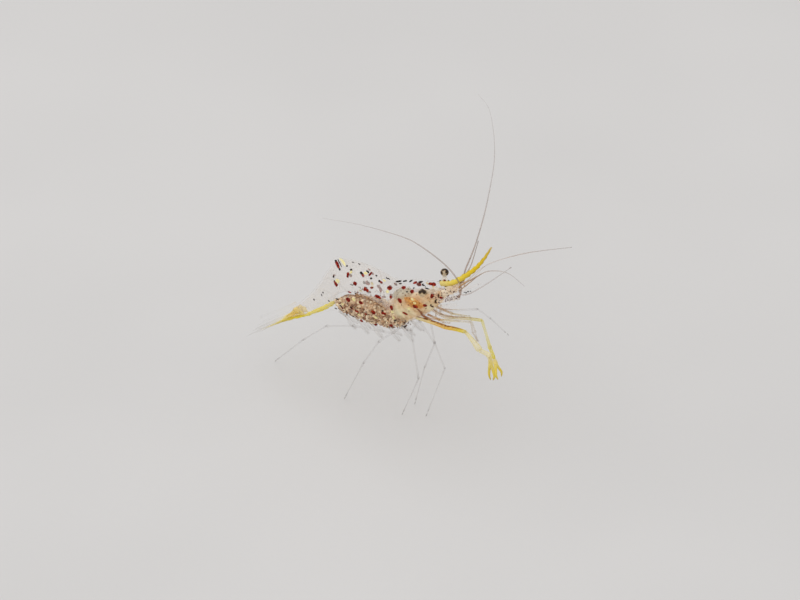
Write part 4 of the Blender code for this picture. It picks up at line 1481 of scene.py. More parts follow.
def finger(shape, start, elbow, tip, inward):
    """A slim finger with a fine row of teeth on its inner side and a hooked point."""
    path = smooth_path((start, start.lerp(elbow, 0.5), elbow, elbow.lerp(tip, 0.6), tip + inward * 0.08), 7)
    shares = shares_of(path)
    radii = read_along(FINGER_GIRTHS, shares)
    tube(shape, path, radii, 12, along=[mix(FINGER_COLOURS, 1, share) for share in shares])
    for point, radius in list(zip(path, radii))[4:-3:2]:
        spot = point + inward * radius * 0.8
        needle(shape, spot, spot + inward * 0.1, 0.03, along=0.9)


def claw(side):
    """The palm with its fixed finger, and the moving finger beside it."""
    before, wrist, tip = (Vector(point) for point in (*SECOND_PINCERS[side][-2:], CLAW_TIPS[side]))
    run = (tip - wrist).normalized()
    apart = ((wrist - before) - (wrist - before).dot(run) * run).normalized()
    length = (tip - wrist).length
    palm, gape = length * PALM_SHARE, CLAW_GAPE[side]

    def spot(reach, off):
        return wrist + run * reach + apart * off

    shape = bmesh.new()
    line = smooth_path([spot(palm * PALM_OVER * k / 5, 0.0) for k in range(6)], 4)
    shares = shares_of(line)
    alongs = [PALM_COLOURS * share for share in shares]
    tube(shape, line, read_along(PALM_GIRTHS, shares), 20, flat=0.8, along=alongs)
    root, elbow = spot(palm * 0.95, -0.14), spot(length * 0.75, -0.2 - gape)
    finger(shape, root, elbow, spot(length, -0.12 - gape), apart)
    place_piece(f"{side}_palm", shape, claw_finish, "shell_yellow", f"{side}_claw")
    shape = bmesh.new()
    root, elbow = spot(palm * 1.05, 0.16), spot(length * 0.78, 0.24 + gape)
    finger(shape, root, elbow, spot(length * 0.98, 0.12 + gape * 0.8), -apart)
    place_piece(f"{side}_moving_finger", shape, claw_finish, "shell_yellow", f"{side}_claw_finger")


for side in SIDES:
    claw(side)
print("claws ready")

# %% First pincers and mouth legs
FIRST_PINCERS = {
    "right": (
        (5.9, -0.95, 18.0), (7.8, -1.1, 17.95), (12.6, -1.3, 19.5), (13.2, -1.8, 18.3),
        (14.1, -1.9, 17.4),
    ),
    "left": (
        (6.1, 0.95, 18.1), (8.4, 1.05, 17.85), (11.1, 1.0, 18.4), (12.1, 0.7, 16.5), (12.4, 0.6, 15.3),
    ),
}
MOUTH_LEGS = {
    "right": ((6.9, -0.4, 19.05), (6.8, -0.45, 17.5), (7.9, -0.4, 17.15), (8.9, -0.35, 17.4)),
    "left": ((7.0, 0.4, 19.15), (7.0, 0.38, 17.7), (8.8, 0.3, 18.0), (9.7, 0.3, 18.2)),
}
first_finish = arm_finish(
    "first_pincer",
    (
        (0.0, (0.55, 0.3, 0.15)), (0.12, (0.8, 0.58, 0.34)), (0.35, (0.86, 0.77, 0.42)),
        (0.55, (0.8, 0.74, 0.46)), (1.0, (0.66, 0.6, 0.5)),
    ),
    ((0.0, 0.7), (0.12, 0.5), (0.3, 0.36), (0.48, 0.3), (0.6, 0.12), (1.0, 0.1)),
)
mouth_finish = arm_finish(
    "mouth_leg",
    ((0.0, (0.74, 0.58, 0.36)), (0.5, (0.62, 0.44, 0.24)), (1.0, (0.7, 0.56, 0.34))),
    ((0.0, 0.2), (0.5, 0.2), (1.0, 0.25)),
)
PINCER_LIMB, MOUTH_LIMB = (0.17, 0.12), (0.16, 0.1)  # girths at the hip and at the end
PINCER_FINGER = (0.07, 0.07, 0.065, 0.06, 0.055, 0.05, 0.04, 0.03, 0.01)


def place_limb(name, shape, joints, girths, finish, slot, node, stripe):
    """A limb of plain tubes. stripe says how brown its line is, where round the tube, and how broad."""
    amount, centre, reach = stripe

    def brown(_, angle):
        return amount * bell(math.sin(angle), centre, reach)

    for a, b, shares in bones(joints):
        segment(shape, a, b, *(mix(*girths, share) for share in shares), shares, line=brown)
    place_piece(name, shape, finish, slot, node)


for side in SIDES:
    shape = bmesh.new()
    wrist, end = (Vector(joint) for joint in FIRST_PINCERS[side][-2:])
    run = (end - wrist).normalized()
    side_way = run.cross(Vector((0, 1, 0))).normalized()
    for sign in (-1, 1):
        root, bent = end - run * 0.7 + side_way * sign * 0.05, end - run * 0.3 + side_way * sign * 0.11
        path = smooth_path((root, bent, end + run * 0.15), 4)
        tube(shape, path, PINCER_FINGER, 8, along=[0.9] * len(path), joint=[0.1] * len(path))
    limb = (FIRST_PINCERS[side], PINCER_LIMB, first_finish, "limb_clear", f"{side}_pincer_leg_1")
    place_limb(f"{side}_first_pincer", shape, *limb, stripe=(0.8, 0.7, 0.3))
    limb = (MOUTH_LEGS[side], MOUTH_LIMB, mouth_finish, "limb_amber", f"{side}_mouth_leg")
    place_limb(f"{side}_mouth_limb", bmesh.new(), *limb, stripe=(0.35, 0.5, 0.4))
print("first pincers and mouth legs ready")

# %% Lines beside the mouth
# A brown line runs down each side of the mouth and out along the base of the pincers.
MOUTH_LINE = (
    (4.6, 1.62, 18.85), (4.95, 1.62, 18.7), (5.26, 1.58, 18.4), (5.4, 1.52, 18.05), (5.7, 1.45, 17.9),
    (6.4, 1.35, 17.78), (7.95, 1.3, 18.2), (10.2, 1.3, 19.1),
)
# Its girth, as (share of its length, girth) stops.
MOUTH_LINE_GIRTH = (
    (0, 0.05), (0.2, 0.1), (0.33, 0.18), (0.45, 0.12), (0.6, 0.15), (0.75, 0.13), (0.88, 0.07), (1, 0.03),
)
shape = bmesh.new()
for sign in SIDES.values():
    line = smooth_path([mirrored(point, sign) for point in MOUTH_LINE], 8)
    shares = shares_of(line)
    tube(shape, line, [between_stops(MOUTH_LINE_GIRTH, share) for share in shares], along=shares)
line_finish = pigment_finish(
    "mouth_line",
    (
        (0.0, (0.25, 0.09, 0.04)), (0.6, (0.32, 0.11, 0.04)), (0.8, (0.6, 0.32, 0.1)),
        (1.0, (0.75, 0.6, 0.2)),
    ),
    ((0.0, 0.3), (0.15, 0.9), (0.64, 0.9), (0.76, 0.35), (1.0, 0.1)),
    patches=0.5,
)
place_piece("mouth_lines", shape, line_finish, "limb_amber")
print("mouth lines ready")

# %% [markdown]
# ## Feelers
#
# The short feelers grow in pairs from a jointed stem, and the long ones from a stout base beside a flat
# scale. The stems are strewn with brown dots. The feelers themselves are ringed hairs that taper to almost
# nothing. A long feeler stands for two CAD rods and runs through them without a break.

# %% Finish with dots
def dotted_finish(name, colours, strengths, dots, size, amount):
    """Clear horn strewn with small dark dots, about size apart and broader with amount, with a faint
    painted glow.
    """
    # The emission is a painted glow in the horn's own colour, standing in for light scattered through it.
    finish, tree, shader = start_finish(name, 0.22, IOR=1.4, Emission_Strength=SCATTER_GLOW)
    inputs = {"Vector": own_place(tree), "Scale": 1 / (size * MM), "Randomness": 0.7}
    distance = add(tree, "TexVoronoi", inputs).outputs["Distance"]
    spots = ramp(tree, distance, (amount * 0.7, 1.0), (amount, 0.0))
    along = painted(tree, "along")
    tone = blend(tree, grain(tree, 0.4), ramp(tree, along, *colours), (0.8, 0.72, 0.6))
    dotted = blend(tree, spots, tone, dots)
    wall = times(tree, ramp(tree, along, *strengths), plus(tree, 0.6, facing(tree, 0.35)))
    seen = plus(tree, wall, times(tree, spots, 0.8), clamp=True)
    dress(shader, Base_Color=dotted, Emission_Color=dotted, Alpha=seen)
    bumps(tree, shader, grain(tree, 0.1), 0.01)
    return finish


stem_finish = dotted_finish(
    "feeler_stem",
    ((0.0, (0.95, 0.82, 0.58)), (0.6, (0.93, 0.74, 0.52)), (1.0, (0.82, 0.62, 0.46))),
    ((0.0, 0.8), (0.6, 0.55), (1.0, 0.3)),
    dots=(0.2, 0.06, 0.03),
    size=0.36,
    amount=0.3,
)
scale_finish = dotted_finish(
    "feeler_scale",
    ((0.0, (0.72, 0.66, 0.62)), (1.0, (0.64, 0.6, 0.62))),
    ((0.0, 0.12), (1.0, 0.07)),
    dots=(0.2, 0.13, 0.16),
    size=0.42,
    amount=0.2,
)
root_finish = dotted_finish(
    "feeler_root",
    ((0.0, (0.8, 0.6, 0.45)), (0.5, (0.7, 0.62, 0.58)), (1.0, (0.6, 0.48, 0.42))),
    ((0.0, 0.4), (0.5, 0.2), (1.0, 0.35)),
    dots=(0.13, 0.07, 0.08),
    size=0.36,
    amount=0.36,
)
print("dotted finishes ready")

# %% Stems and roots of the feelers
STEMS = {
    "right": ((8.0, -0.5, 21.75), (10.45, -0.8, 23.75)),
    "left": ((8.0, 0.5, 21.75), (10.2, 0.8, 23.5)),
}
ROOTS = {
    "right": ((7.75, -1.25, 20.95), (10.95, -1.85, 23.1)),
    "left": ((7.75, 1.25, 20.95), (9.5, 1.9, 22.7)),
}
STEM_GIRTH, ROOT_GIRTH = 0.4, 0.36
STEM_JOINTS = ((0, 0.5), (0.5, 0.75), (0.75, 1.0))
STEM_SPREAD = 1.5  # how much broader a stem's first joint is at its base
STEM_HAIRS, HAIR_STEP = 7, 0.1
LONG_PARTS = (("stem", STEMS, STEM_GIRTH, stem_finish), ("root", ROOTS, ROOT_GIRTH, root_finish))
for side, sign in SIDES.items():
    for kind, places, girth, finish in LONG_PARTS:
        a, b = (Vector(end) for end in places[side])
        shape = bmesh.new()
        for shares in STEM_JOINTS:
            first, last = (mix(girth, girth * 0.8, share) for share in shares)
            first *= STEM_SPREAD if kind == "stem" and shares[0] == 0 else 1
            ends = [a.lerp(b, share) for share in shares]
            segment(shape, *ends, first, last, shares, sides=18)
        for k in range(STEM_HAIRS):
            spot = a.lerp(b, 0.25 + HAIR_STEP * k) + Vector((0.1, sign * girth * 0.8, 0.02))
            needle(shape, spot, spot + Vector((0.22, sign * 0.1, 0.14)), LEG_BRISTLE, along=0.8, joint=0.0)
        place_piece(f"{side}_{kind}", shape, finish, "shell_clear", f"{side}_feeler_{kind}")
print("stems and roots ready")

# %% Scales of the feelers
SCALE_ROOT, SCALE_TIP, SCALE_WIDTH = (7.55, 1.6, 20.1), (11.4, 2.8, 22.6), 1.3
for side, sign in SIDES.items():
    shape = bmesh.new()
    root, tip = mirrored(SCALE_ROOT, sign), mirrored(SCALE_TIP, sign)
    made = leaf(shape, root, tip - root, (0, 1, 0), (tip - root).length, SCALE_WIDTH, slope=-sign * 0.5)
    fringe(shape, made, 0.35, 0.1, start=0.45)
    place_piece(f"{side}_scale", shape, scale_finish, "shell_clear", f"{side}_feeler_scale")
print("scales ready")

# %% Paths of the feelers
SHORT_FEELERS = {
    "right_outer": (
        (10.7, -0.75, 24.2), (13.0, -1.2, 26.5), (15.3, -1.6, 28.6), (18.6, -2.5, 30.0),
        (21.6, -3.5, 29.7),
    ),
    "right_inner": ((11.0, -1.2, 23.2), (12.7, -1.7, 24.3), (16.2, -2.8, 28.0), (20.0, -4.2, 32.4)),
    "left_outer": (
        (10.7, 1.0, 24.0), (12.6, 1.5, 26.4), (14.7, 2.2, 27.9), (18.3, 3.5, 29.6), (23.5, 5.0, 31.4),
    ),
    "left_inner": ((10.1, 0.95, 24.25), (11.0, 1.2, 26.3), (11.8, 1.6, 30.1)),
}
LONG_FEELERS = {
    "right": (
        (11.3, -2.0, 23.6), (11.5, -2.2, 25.4), (9.9, -3.0, 28.2), (6.6, -4.0, 30.7), (4.0, -4.6, 31.6),
        (-1.5, -5.5, 31.9), (-6.9, -6.0, 31.3),
    ),
    "left": (
        (9.5, 2.3, 24.3), (10.1, 2.7, 26.5), (10.7, 3.05, 28.9), (11.45, 3.7, 33.1), (12.0, 4.2, 37.6),
        (12.2, 4.6, 41.0), (11.8, 5.0, 44.4), (10.9, 5.2, 47.7), (9.3, 5.2, 49.3),
    ),
}
print("short feelers:", len(SHORT_FEELERS), "long feelers:", len(LONG_FEELERS))

# %% Finishes of the feelers
LONG_COLOURS = ((0.0, (0.4, 0.24, 0.16)), (0.25, (0.44, 0.33, 0.27)), (1.0, (0.46, 0.4, 0.37)))
OUTER_BASE, INNER_BASE = (0.62, 0.36, 0.15), (0.46, 0.32, 0.24)
MIDDLE_GREY, END_GREY = (0.44, 0.33, 0.27), (0.42, 0.36, 0.33)
SHORT_STRENGTHS = {
    "right_outer": ((0.0, 0.75), (0.34, 0.6), (0.42, 0.34), (0.9, 0.24), (1.0, 0.16)),
    "right_inner": ((0.0, 0.26), (0.5, 0.22), (0.965, 0.2), (0.98, 0.9)),
    "left_outer": ((0.0, 0.3), (0.15, 0.14), (0.4, 0.14), (0.55, 0.3), (1.0, 0.36)),
    "left_inner": ((0.0, 0.3), (0.5, 0.45), (0.94, 0.5), (0.97, 0.95)),
}
long_finish = pigment_finish(
    "long_feeler",
    LONG_COLOURS,
    ((0.0, 0.65), (0.05, 0.45), (0.3, 0.36), (0.6, 0.24), (1.0, 0.1)),
    dark=(0.12, 0.08, 0.07),
    patches=0.5,
    size=0.6,
)
short_finishes = {}
for name, strengths in SHORT_STRENGTHS.items():
    base = OUTER_BASE if name.endswith("outer") else INNER_BASE
    colours = ((0.0, base), (0.35, mix(base, MIDDLE_GREY, 0.6)), (1.0, END_GREY))
    short_finishes[name] = pigment_finish(name, colours, strengths, (0.12, 0.07, 0.05), 0.5, 0.5)
print("feeler finishes:", 1 + len(short_finishes))

# %% Ringed hairs
RING_GAP = 0.22
RING_SWELL, RING_WAIST = 1.12, 0.92
LONG_GIRTHS, OUTER_GIRTHS, INNER_GIRTHS = (0.12, 0.035), (0.1, 0.04), (0.1, 0.055)
BRANCH = 0.42  # share of an outer feeler that has a second, shorter branch under it
BRANCH_GIRTHS, BRANCH_PART = (0.07, 0.05), 0.34
BRANCH_DROP = Vector((0.15, -0.1, -0.5))


def hair(shape, path, girths, part=1.0):
    """A tapering feeler that swells at every ring. It is coloured like the first part of a whole one."""
    lengths = [0.0]
    for a, b in zip(path, path[1:]):
        lengths.append(lengths[-1] + (b - a).length)
    count = int(lengths[-1] / (RING_GAP / 2))
    line, radii = [], []
    place = 0
    for i in range(count + 1):
        reach = lengths[-1] * i / count
        while place < len(path) - 2 and lengths[place + 1] < reach:
            place += 1
        beyond = (reach - lengths[place]) / (lengths[place + 1] - lengths[place])
        line.append(path[place].lerp(path[place + 1], beyond))
        radii.append(mix(*girths, (i / count) ** 0.8) * (RING_SWELL if i % 2 else RING_WAIST))
    tube(shape, line, radii, 8, along=[part * share for share in shares_of(line)])


for side, points in LONG_FEELERS.items():
    shape = bmesh.new()
    hair(shape, smooth_path((ROOTS[side][1],) + points, 8), LONG_GIRTHS)
    nodes = (f"{side}_long_feeler_1", f"{side}_long_feeler_2")
    place_piece(f"{side}_long_feeler", shape, long_finish, "feeler_clear", *nodes)
for name, points in SHORT_FEELERS.items():
    shape = bmesh.new()
    path = smooth_path((STEMS[name.split("_")[0]][1],) + points, 8)
    outer = name.endswith("outer")
    hair(shape, path, OUTER_GIRTHS if outer else INNER_GIRTHS)
    if outer:
        joined = int(len(path) * BRANCH)
        under = [path[i] + BRANCH_DROP * (1 - (i / joined) ** 3) for i in range(joined + 1)]
        hair(shape, under, BRANCH_GIRTHS, BRANCH_PART)
    place_piece(f"{name}_feeler", shape, short_finishes[name], "feeler_clear", f"{name}_short_feeler")
print("feelers ready")

# %% [markdown]
# ## Colour cells
#
# The red, black and yellow marks are chromatophores: flat cells in the skin just under the clear shell.
# They make the animal visible, so their places, sizes and leans matter more than anything else here.
# Painting them in the shell's finish would blur them. Each is instead a thin lens of its own, laid on the
# plate along a short path. Its outline is uneven, and it fades at its rim. A black and a red cell often
# touch.

# %% The plates as one surface
points, faces = [], []
for rows in shell_sheets:
    start, width = len(points), len(rows[0])
    points += [point for row in rows for point in row]
    for i in range(len(rows) - 1):
        for k in range(width - 1):
            a = start + i * width + k
            faces.append((a, a + 1, a + 1 + width, a + width))
trunk = BVHTree.FromPolygons(points, faces)


def outward(place):
    """The nearest place on the plates and the way out of them there."""
    point, normal, _, _ = trunk.find_nearest(place)
    middle = Vector((point.x, 0, point.z - 1.0))
    return point, -normal if normal.dot(point - middle) < 0 else normal


def flank_place(x, z, sign):
    """The place on the plates' outer face that is seen straight from the side at (x, z)."""
    point, _, _, _ = trunk.ray_cast(Vector((x, sign * 10, z)), Vector((0, -sign, 0)))
    return point or outward(Vector((x, sign * 1.6, z)))[0]


print("faces of the plates:", len(faces))

# %% One cell
CELL_LIFT, CELL_WALL = 0.02, 0.035  # height of a cell's rim over the plate, and of its middle over its rim
STATIONS, LANES = 15, 7
cells = {kind: bmesh.new() for kind in ("red", "black", "yellow", "brown")}


def lay_cell(kind, path, width, seed, stations=STATIONS, lanes=LANES):
    """One cell along a path over the plates, with an uneven outline."""
    shape = cells[kind]
    layer = shape.verts.layers.float.get("core") or shape.verts.layers.float.new("core")
    path = [Vector(point) for point in path]
    line = smooth_path(path, 6) if len(path) > 2 else [path[0].lerp(path[1], i / 6) for i in range(7)]
    grid = []
    for t in shares_of(range(stations)):
        place = t * (len(line) - 1)
        k = min(int(place), len(line) - 2)
        centre, out = outward(line[k].lerp(line[k + 1], place - k))
        side = out.cross(line[k + 1] - line[k]).normalized()
        round_off = max(0.0, 1 - abs(2 * t - 1) ** 2.2) ** 0.5
        row = []
        for way in turns_round(lanes):
            uneven = 1 + 0.5 * noise(Vector((t * 2.6, way * 0.8, seed * 3.7)))
            half = width / 2 * max(round_off, 0.02) * uneven
            core = (1 - way**2) * round_off
            point, away = outward(centre + side * half * way)
            vertex = shape.verts.new(point + away * (CELL_LIFT + CELL_WALL * core))
            vertex[layer] = core
            row.append(vertex)
        grid.append(row)
    for row, following in zip(grid, grid[1:]):
        for a, b, c, d in zip(row, row[1:], following[1:], following):
            shape.faces.new((a, b, c, d))


print("kinds of cells:", ", ".join(cells))

# %% Cells on a flank
BURNT_OVERLAP = (0.08, 0.1)  # how far a burnt cell's black and red halves reach past its middle
SPECK_REACH, SPECK_WIDTH = (0.05, 0.16), (0.08, 0.18)
SPECK_STATIONS, SPECK_LANES = 6, 5
seeds = itertools.count(1)


def flank_cell(kind, x, z, length, width, lean=0.0, sign=-1):
    """A cell on one flank. lean lifts its front end, in degrees. A burnt one is black behind, red ahead."""
    seed = next(seeds)
    centre, out = outward(flank_place(x, z, sign))
    ahead = Vector((1, 0, 0)) - out * out.x
    ahead.normalize()
    above = out.cross(ahead)
    above *= 1 if above.z > 0 else -1
    level, rise = math.cos(math.radians(lean)), math.sin(math.radians(lean))
    run = ahead * level + above * rise
    if width > length:
        run, length, width = ahead * rise - above * level, width, length
    rear, front = centre - run * length / 2, centre + run * length / 2
    if kind == "burnt":
        lay_cell("black", (rear, centre + run * length * BURNT_OVERLAP[0]), width, seed)
        lay_cell("red", (centre - run * length * BURNT_OVERLAP[1], front), width, seed + 0.5)
    else:
        lay_cell(kind, (rear, front), width, seed)


def pepper(count, xs, zs, chance, sign):
    """Fine brown specks strewn over a stretch of the flank."""
    for _ in range(count):
        centre, _ = outward(flank_place(chance.uniform(*xs), chance.uniform(*zs), sign))
        way = Vector((chance.uniform(-1, 1), 0, chance.uniform(-1, 1))).normalized()
        run = way * chance.uniform(*SPECK_REACH)
        width, seed = chance.uniform(*SPECK_WIDTH), chance.random()
        lay_cell("brown", (centre - run, centre + run), width, seed, SPECK_STATIONS, SPECK_LANES)


print("cell builders ready")

# %% Cells on the abdomen
# Each cell: kind, x, z, length and width on the right flank, in millimetres, and its lean in degrees if it
# has one.
ABDOMEN_CELLS = (
    ("black", -5.7, 20.9, 0.35, 0.3), ("black", -8.0, 19.4, 0.25, 0.4),
    ("red", -7.6, 18.5, 0.85, 0.62, -25), ("black", -7.85, 18.7, 0.3, 0.4),
    ("yellow", -7.3, 19.05, 0.75, 0.75), ("red", -4.6, 19.6, 0.6, 0.55),
    ("burnt", -4.0, 20.8, 0.95, 0.35, -35), ("yellow", -3.6, 21.0, 0.6, 0.5),
    ("red", -3.0, 21.0, 0.3, 0.75), ("black", -2.6, 20.7, 0.3, 0.28),
    ("black", -2.2, 20.9, 0.28, 0.22, -20), ("red", -5.9, 20.3, 0.42, 0.75, 12),
    ("yellow", -5.6, 20.7, 0.4, 0.45), ("red", 0.3, 20.3, 0.8, 0.6), ("red", -3.0, 19.4, 0.5, 0.55),
    ("red", -2.6, 19.3, 0.4, 0.45), ("red", -2.1, 19.8, 0.45, 0.3, 10), ("yellow", 0.2, 19.9, 0.6, 0.5),
    ("red", -1.0, 18.9, 0.95, 0.5, -10), ("red", 0.9, 19.5, 0.35, 0.45), ("red", -5.3, 18.1, 0.6, 0.25),
    ("black", -9.8, 16.1, 0.24, 0.28), ("black", -10.1, 15.5, 0.3, 0.2, -35),
    ("black", -11.5, 14.1, 0.28, 0.26), ("black", -8.8, 15.2, 0.28, 0.24),
)
print("cells on the abdomen:", len(ABDOMEN_CELLS))

# %% Cells beside the eggs
EGG_CELLS = (
    ("red", -5.6, 16.8, 0.72, 0.72), ("black", -5.62, 16.82, 0.45, 0.5), ("yellow", -4.7, 17.2, 0.65, 0.6),
    ("red", -3.6, 17.1, 0.68, 0.55), ("black", -7.4, 16.1, 0.55, 0.22),
    ("burnt", -6.8, 15.0, 0.75, 0.3, -45), ("black", -7.9, 14.2, 0.42, 0.24),
    ("burnt", -5.1, 15.6, 0.6, 0.33, -25), ("red", -4.3, 15.35, 0.65, 0.4, -15),
    ("red", -2.8, 15.6, 0.5, 0.33, -15), ("red", -1.6, 16.3, 0.68, 0.7), ("red", -0.1, 16.65, 0.8, 0.5),
    ("black", -0.25, 17.0, 0.35, 0.22), ("red", 1.1, 18.0, 0.55, 0.85), ("red", -3.7, 13.95, 0.6, 0.4, 25),
    ("red", -1.4, 14.3, 0.6, 0.36, 25), ("red", 0.9, 14.95, 0.58, 0.5), ("black", -6.1, 13.95, 0.3, 0.2),
    ("black", -5.1, 14.1, 0.28, 0.2), ("yellow", -1.3, 15.55, 0.6, 0.5),
    ("yellow", 1.3, 16.4, 0.35, 0.6, 20), ("yellow", -6.6, 15.6, 0.5, 0.4),
    ("yellow", -4.0, 14.9, 0.6, 0.35),
)
print("cells beside the eggs:", len(EGG_CELLS))

# %% Cells on the chest and the left flank
CHEST_CELLS = (
    ("red", 2.4, 21.1, 0.75, 0.5), ("red", 3.9, 21.25, 0.6, 0.5), ("black", 3.95, 21.6, 0.22, 0.24),
    ("black", 3.2, 21.0, 0.26, 0.22), ("red", 2.4, 19.6, 0.78, 0.62, -35), ("red", 4.7, 19.5, 0.75, 0.55),
    ("red", 6.0, 20.0, 0.6, 0.48), ("red", 6.75, 21.6, 0.42, 1.0), ("red", 3.2, 17.9, 0.85, 0.38, -15),
    ("black", 5.9, 22.1, 0.9, 0.14), ("black", 7.2, 20.85, 0.18, 0.35), ("black", 7.7, 20.85, 0.3, 0.22),
    ("yellow", 4.2, 20.4, 0.55, 0.45), ("yellow", 4.6, 20.0, 0.5, 0.45), ("yellow", 3.8, 18.9, 0.55, 0.5),
    ("yellow", 1.2, 17.3, 0.5, 0.5),
)
# The left flank is seen through the body, so it has some cells of its own.
LEFT_CELLS = (
    ("red", -7.9, 17.4, 0.6, 0.5), ("yellow", -7.8, 17.9, 0.5, 0.4), ("red", -1.0, 18.4, 0.6, 0.5),
    ("red", -3.3, 16.6, 0.5, 0.8), ("red", -7.2, 16.4, 0.5, 0.45), ("black", -9.9, 15.6, 0.25, 0.25),
    ("red", -10.1, 16.9, 0.4, 0.35), ("red", -5.6, 16.1, 0.6, 0.5), ("yellow", -4.6, 16.6, 0.5, 0.5),
    ("red", -4.6, 18.8, 0.55, 0.5), ("black", -6.1, 18.2, 0.35, 0.25), ("red", -5.0, 19.3, 0.5, 0.4),
    ("black", -7.7, 18.4, 0.25, 0.3), ("red", -1.8, 17.6, 0.6, 0.5), ("red", -3.6, 15.5, 0.5, 0.4),
)
# Below the ridge, the cells beside the eggs and on the chest are repeated on the left, a little moved.
RIDGE_HEIGHT = 20.7
MOVE_X, MOVE_Z, RESIZE = 0.3, 0.15, (0.8, 1.1)
for cell in ABDOMEN_CELLS + EGG_CELLS + CHEST_CELLS:
    flank_cell(*cell)
for cell in LEFT_CELLS:
    flank_cell(*cell, sign=1)
chance = random.Random(23)
for kind, x, z, length, width, *lean in EGG_CELLS + CHEST_CELLS:
    if z < RIDGE_HEIGHT:
        moved = (x + chance.uniform(-MOVE_X, MOVE_X), z + chance.uniform(-MOVE_Z, MOVE_Z))
        leans = [-angle for angle in lean]
        flank_cell(kind, *moved, length * chance.uniform(*RESIZE), width, *leans, sign=1)
print("cells on the left flank alone:", len(LEFT_CELLS))

# %% Bars over the hump, and dashes along the ridge
# Each cell: kind, width, and the points of its path over the back.
RIDGE_CELLS = (
    ("yellow", 0.42, (-8.5, 0.3, 20.9), (-7.6, -0.35, 21.1), (-6.6, -1.0, 20.9)),
    ("black", 0.12, (-8.55, 0.0, 20.8), (-7.85, -0.6, 20.9), (-7.1, -1.1, 20.7)),
    ("black", 0.26, (-6.65, -0.85, 21.05), (-6.4, -0.95, 21.0)),
    ("black", 0.32, (-8.95, -0.05, 20.65), (-8.6, -0.35, 20.7), (-8.3, -0.6, 20.6)),
    ("red", 0.4, (-8.6, -0.35, 20.65), (-8.0, -0.75, 20.6), (-7.4, -1.2, 20.45)),
    ("black", 0.26, (-7.45, -1.15, 20.45), (-7.2, -1.35, 20.35)),
    ("black", 0.16, (-6.3, -0.1, 21.4), (-5.95, -0.1, 21.4)),
    ("black", 0.18, (-5.4, 0.1, 21.4), (-5.0, -0.1, 21.4)),
    ("black", 0.24, (-3.8, -0.5, 21.1), (-3.5, -0.6, 21.05), (-3.25, -0.8, 20.95)),
    ("black", 0.2, (-1.2, 0.15, 20.6), (-0.8, 0, 20.6), (-0.4, -0.1, 20.6)),
    ("black", 0.34, (-1.65, -0.9, 20.5), (-1.35, -1.0, 20.5)),
    ("red", 0.28, (-1.4, -0.95, 20.5), (-0.95, -1.05, 20.45)),
    ("yellow", 0.4, (-1.25, -0.4, 20.6), (-0.75, -0.7, 20.6)),
    ("black", 0.5, (0.45, -0.15, 20.75), (0.98, -0.1, 20.9), (1.4, -0.15, 20.95)),
    ("black", 0.26, (1.3, -0.55, 20.85), (1.8, -0.65, 20.95)),
    ("black", 0.5, (1.55, -0.05, 21.05), (1.85, 0.0, 21.2), (2.15, -0.05, 21.3)),
    ("black", 0.7, (2.55, -0.05, 21.45), (2.95, 0.0, 21.55)),
    ("red", 0.6, (3.35, -0.4, 21.7), (3.95, -0.35, 21.85)),
    ("black", 0.45, (4.0, -0.15, 21.9), (4.65, -0.15, 22.05)),
    ("black", 0.24, (4.85, -0.4, 22.1), (4.95, -0.65, 22.05), (5.35, -0.75, 22.1)),
    ("red", 0.62, (5.55, -0.25, 22.35), (6.1, -0.25, 22.45), (6.7, -0.25, 22.5)),
)
for kind, width, *points in RIDGE_CELLS:
    lay_cell(kind, points, width, next(seeds))
print("cells on the ridge:", len(RIDGE_CELLS))

# %% Pepper
# Each patch: how many specks, and the stretch of the flank that they lie on, as a range of x and one of z.
PEPPER = (
    (34, (-2.4, 1.6), (14.4, 16.0)), (44, (-7.6, -2.0), (14.2, 16.3)), (12, (2.6, 6.3), (18.2, 21.2)),
    (14, (5.9, 7.3), (20.2, 22.2)),
)
chance = random.Random(31)
for sign in SIDES.values():
    for count, xs, zs in PEPPER:
        pepper(count, xs, zs, chance, sign)
print("specks on each flank:", sum(count for count, _, _ in PEPPER))

# %% Marks on the head
# The left eye's stalk bears a red spot and a dark one on either side: how far out and aside, and half size.
STALK_SPOTS = (("red", 0.6, 0.0, 0.2), ("black", 0.2, -0.55, 0.11), ("black", 0.2, 0.52, 0.12))
STALK_OUT, STALK_ASIDE = Vector((0.43, -0.7, 0.57)), Vector((0.85, 0.53, 0))
# Marks on the front of the head and the roots of the feelers: a place, and its half sizes.
HEAD_SPOTS = (
    ("brown", (7.6, 1.15, 21.7), (0.11, 0.1, 0.32)), ("red", (8.1, 1.25, 21.6), (0.32, 0.1, 0.14)),
    ("black", (7.75, 1.2, 20.7), (0.17, 0.1, 0.14)), ("brown", (7.25, 1.25, 20.55), (0.2, 0.1, 0.09)),
    ("brown", (6.75, 1.25, 19.75), (0.26, 0.1, 0.08)), ("brown", (6.6, 1.35, 19.95), (0.09, 0.1, 0.16)),
)
# Four small marks in a row beside the right inner short feeler: a place and a half size.
FEELER_MARKS = (
    ((11.75, -1.641, 24.06), 0.06), ((12.1, -1.788, 24.21), 0.09), ((12.5, -1.956, 24.63), 0.09),
    ((12.95, -2.145, 24.96), 0.06),
)


def bead(kind, place, axes, *more):
    """A small round grain of pigment. more is its turn, its rows and its sides."""
    ball(cells[kind], place, axes, *more, core=0.8)


for kind, ahead, aside, size in STALK_SPOTS:
    bead(kind, stalk_waists["left"] + STALK_OUT * ahead + STALK_ASIDE * aside, (size, size, size * 0.8))
for kind, place, axes in HEAD_SPOTS:
    for sign in SIDES.values():
        bead(kind, mirrored(place, sign), axes)
for place, size in FEELER_MARKS:
    bead("black", Vector(place), (size, size, size))
print("marks on the head:", len(STALK_SPOTS) + 2 * len(HEAD_SPOTS) + len(FEELER_MARKS))

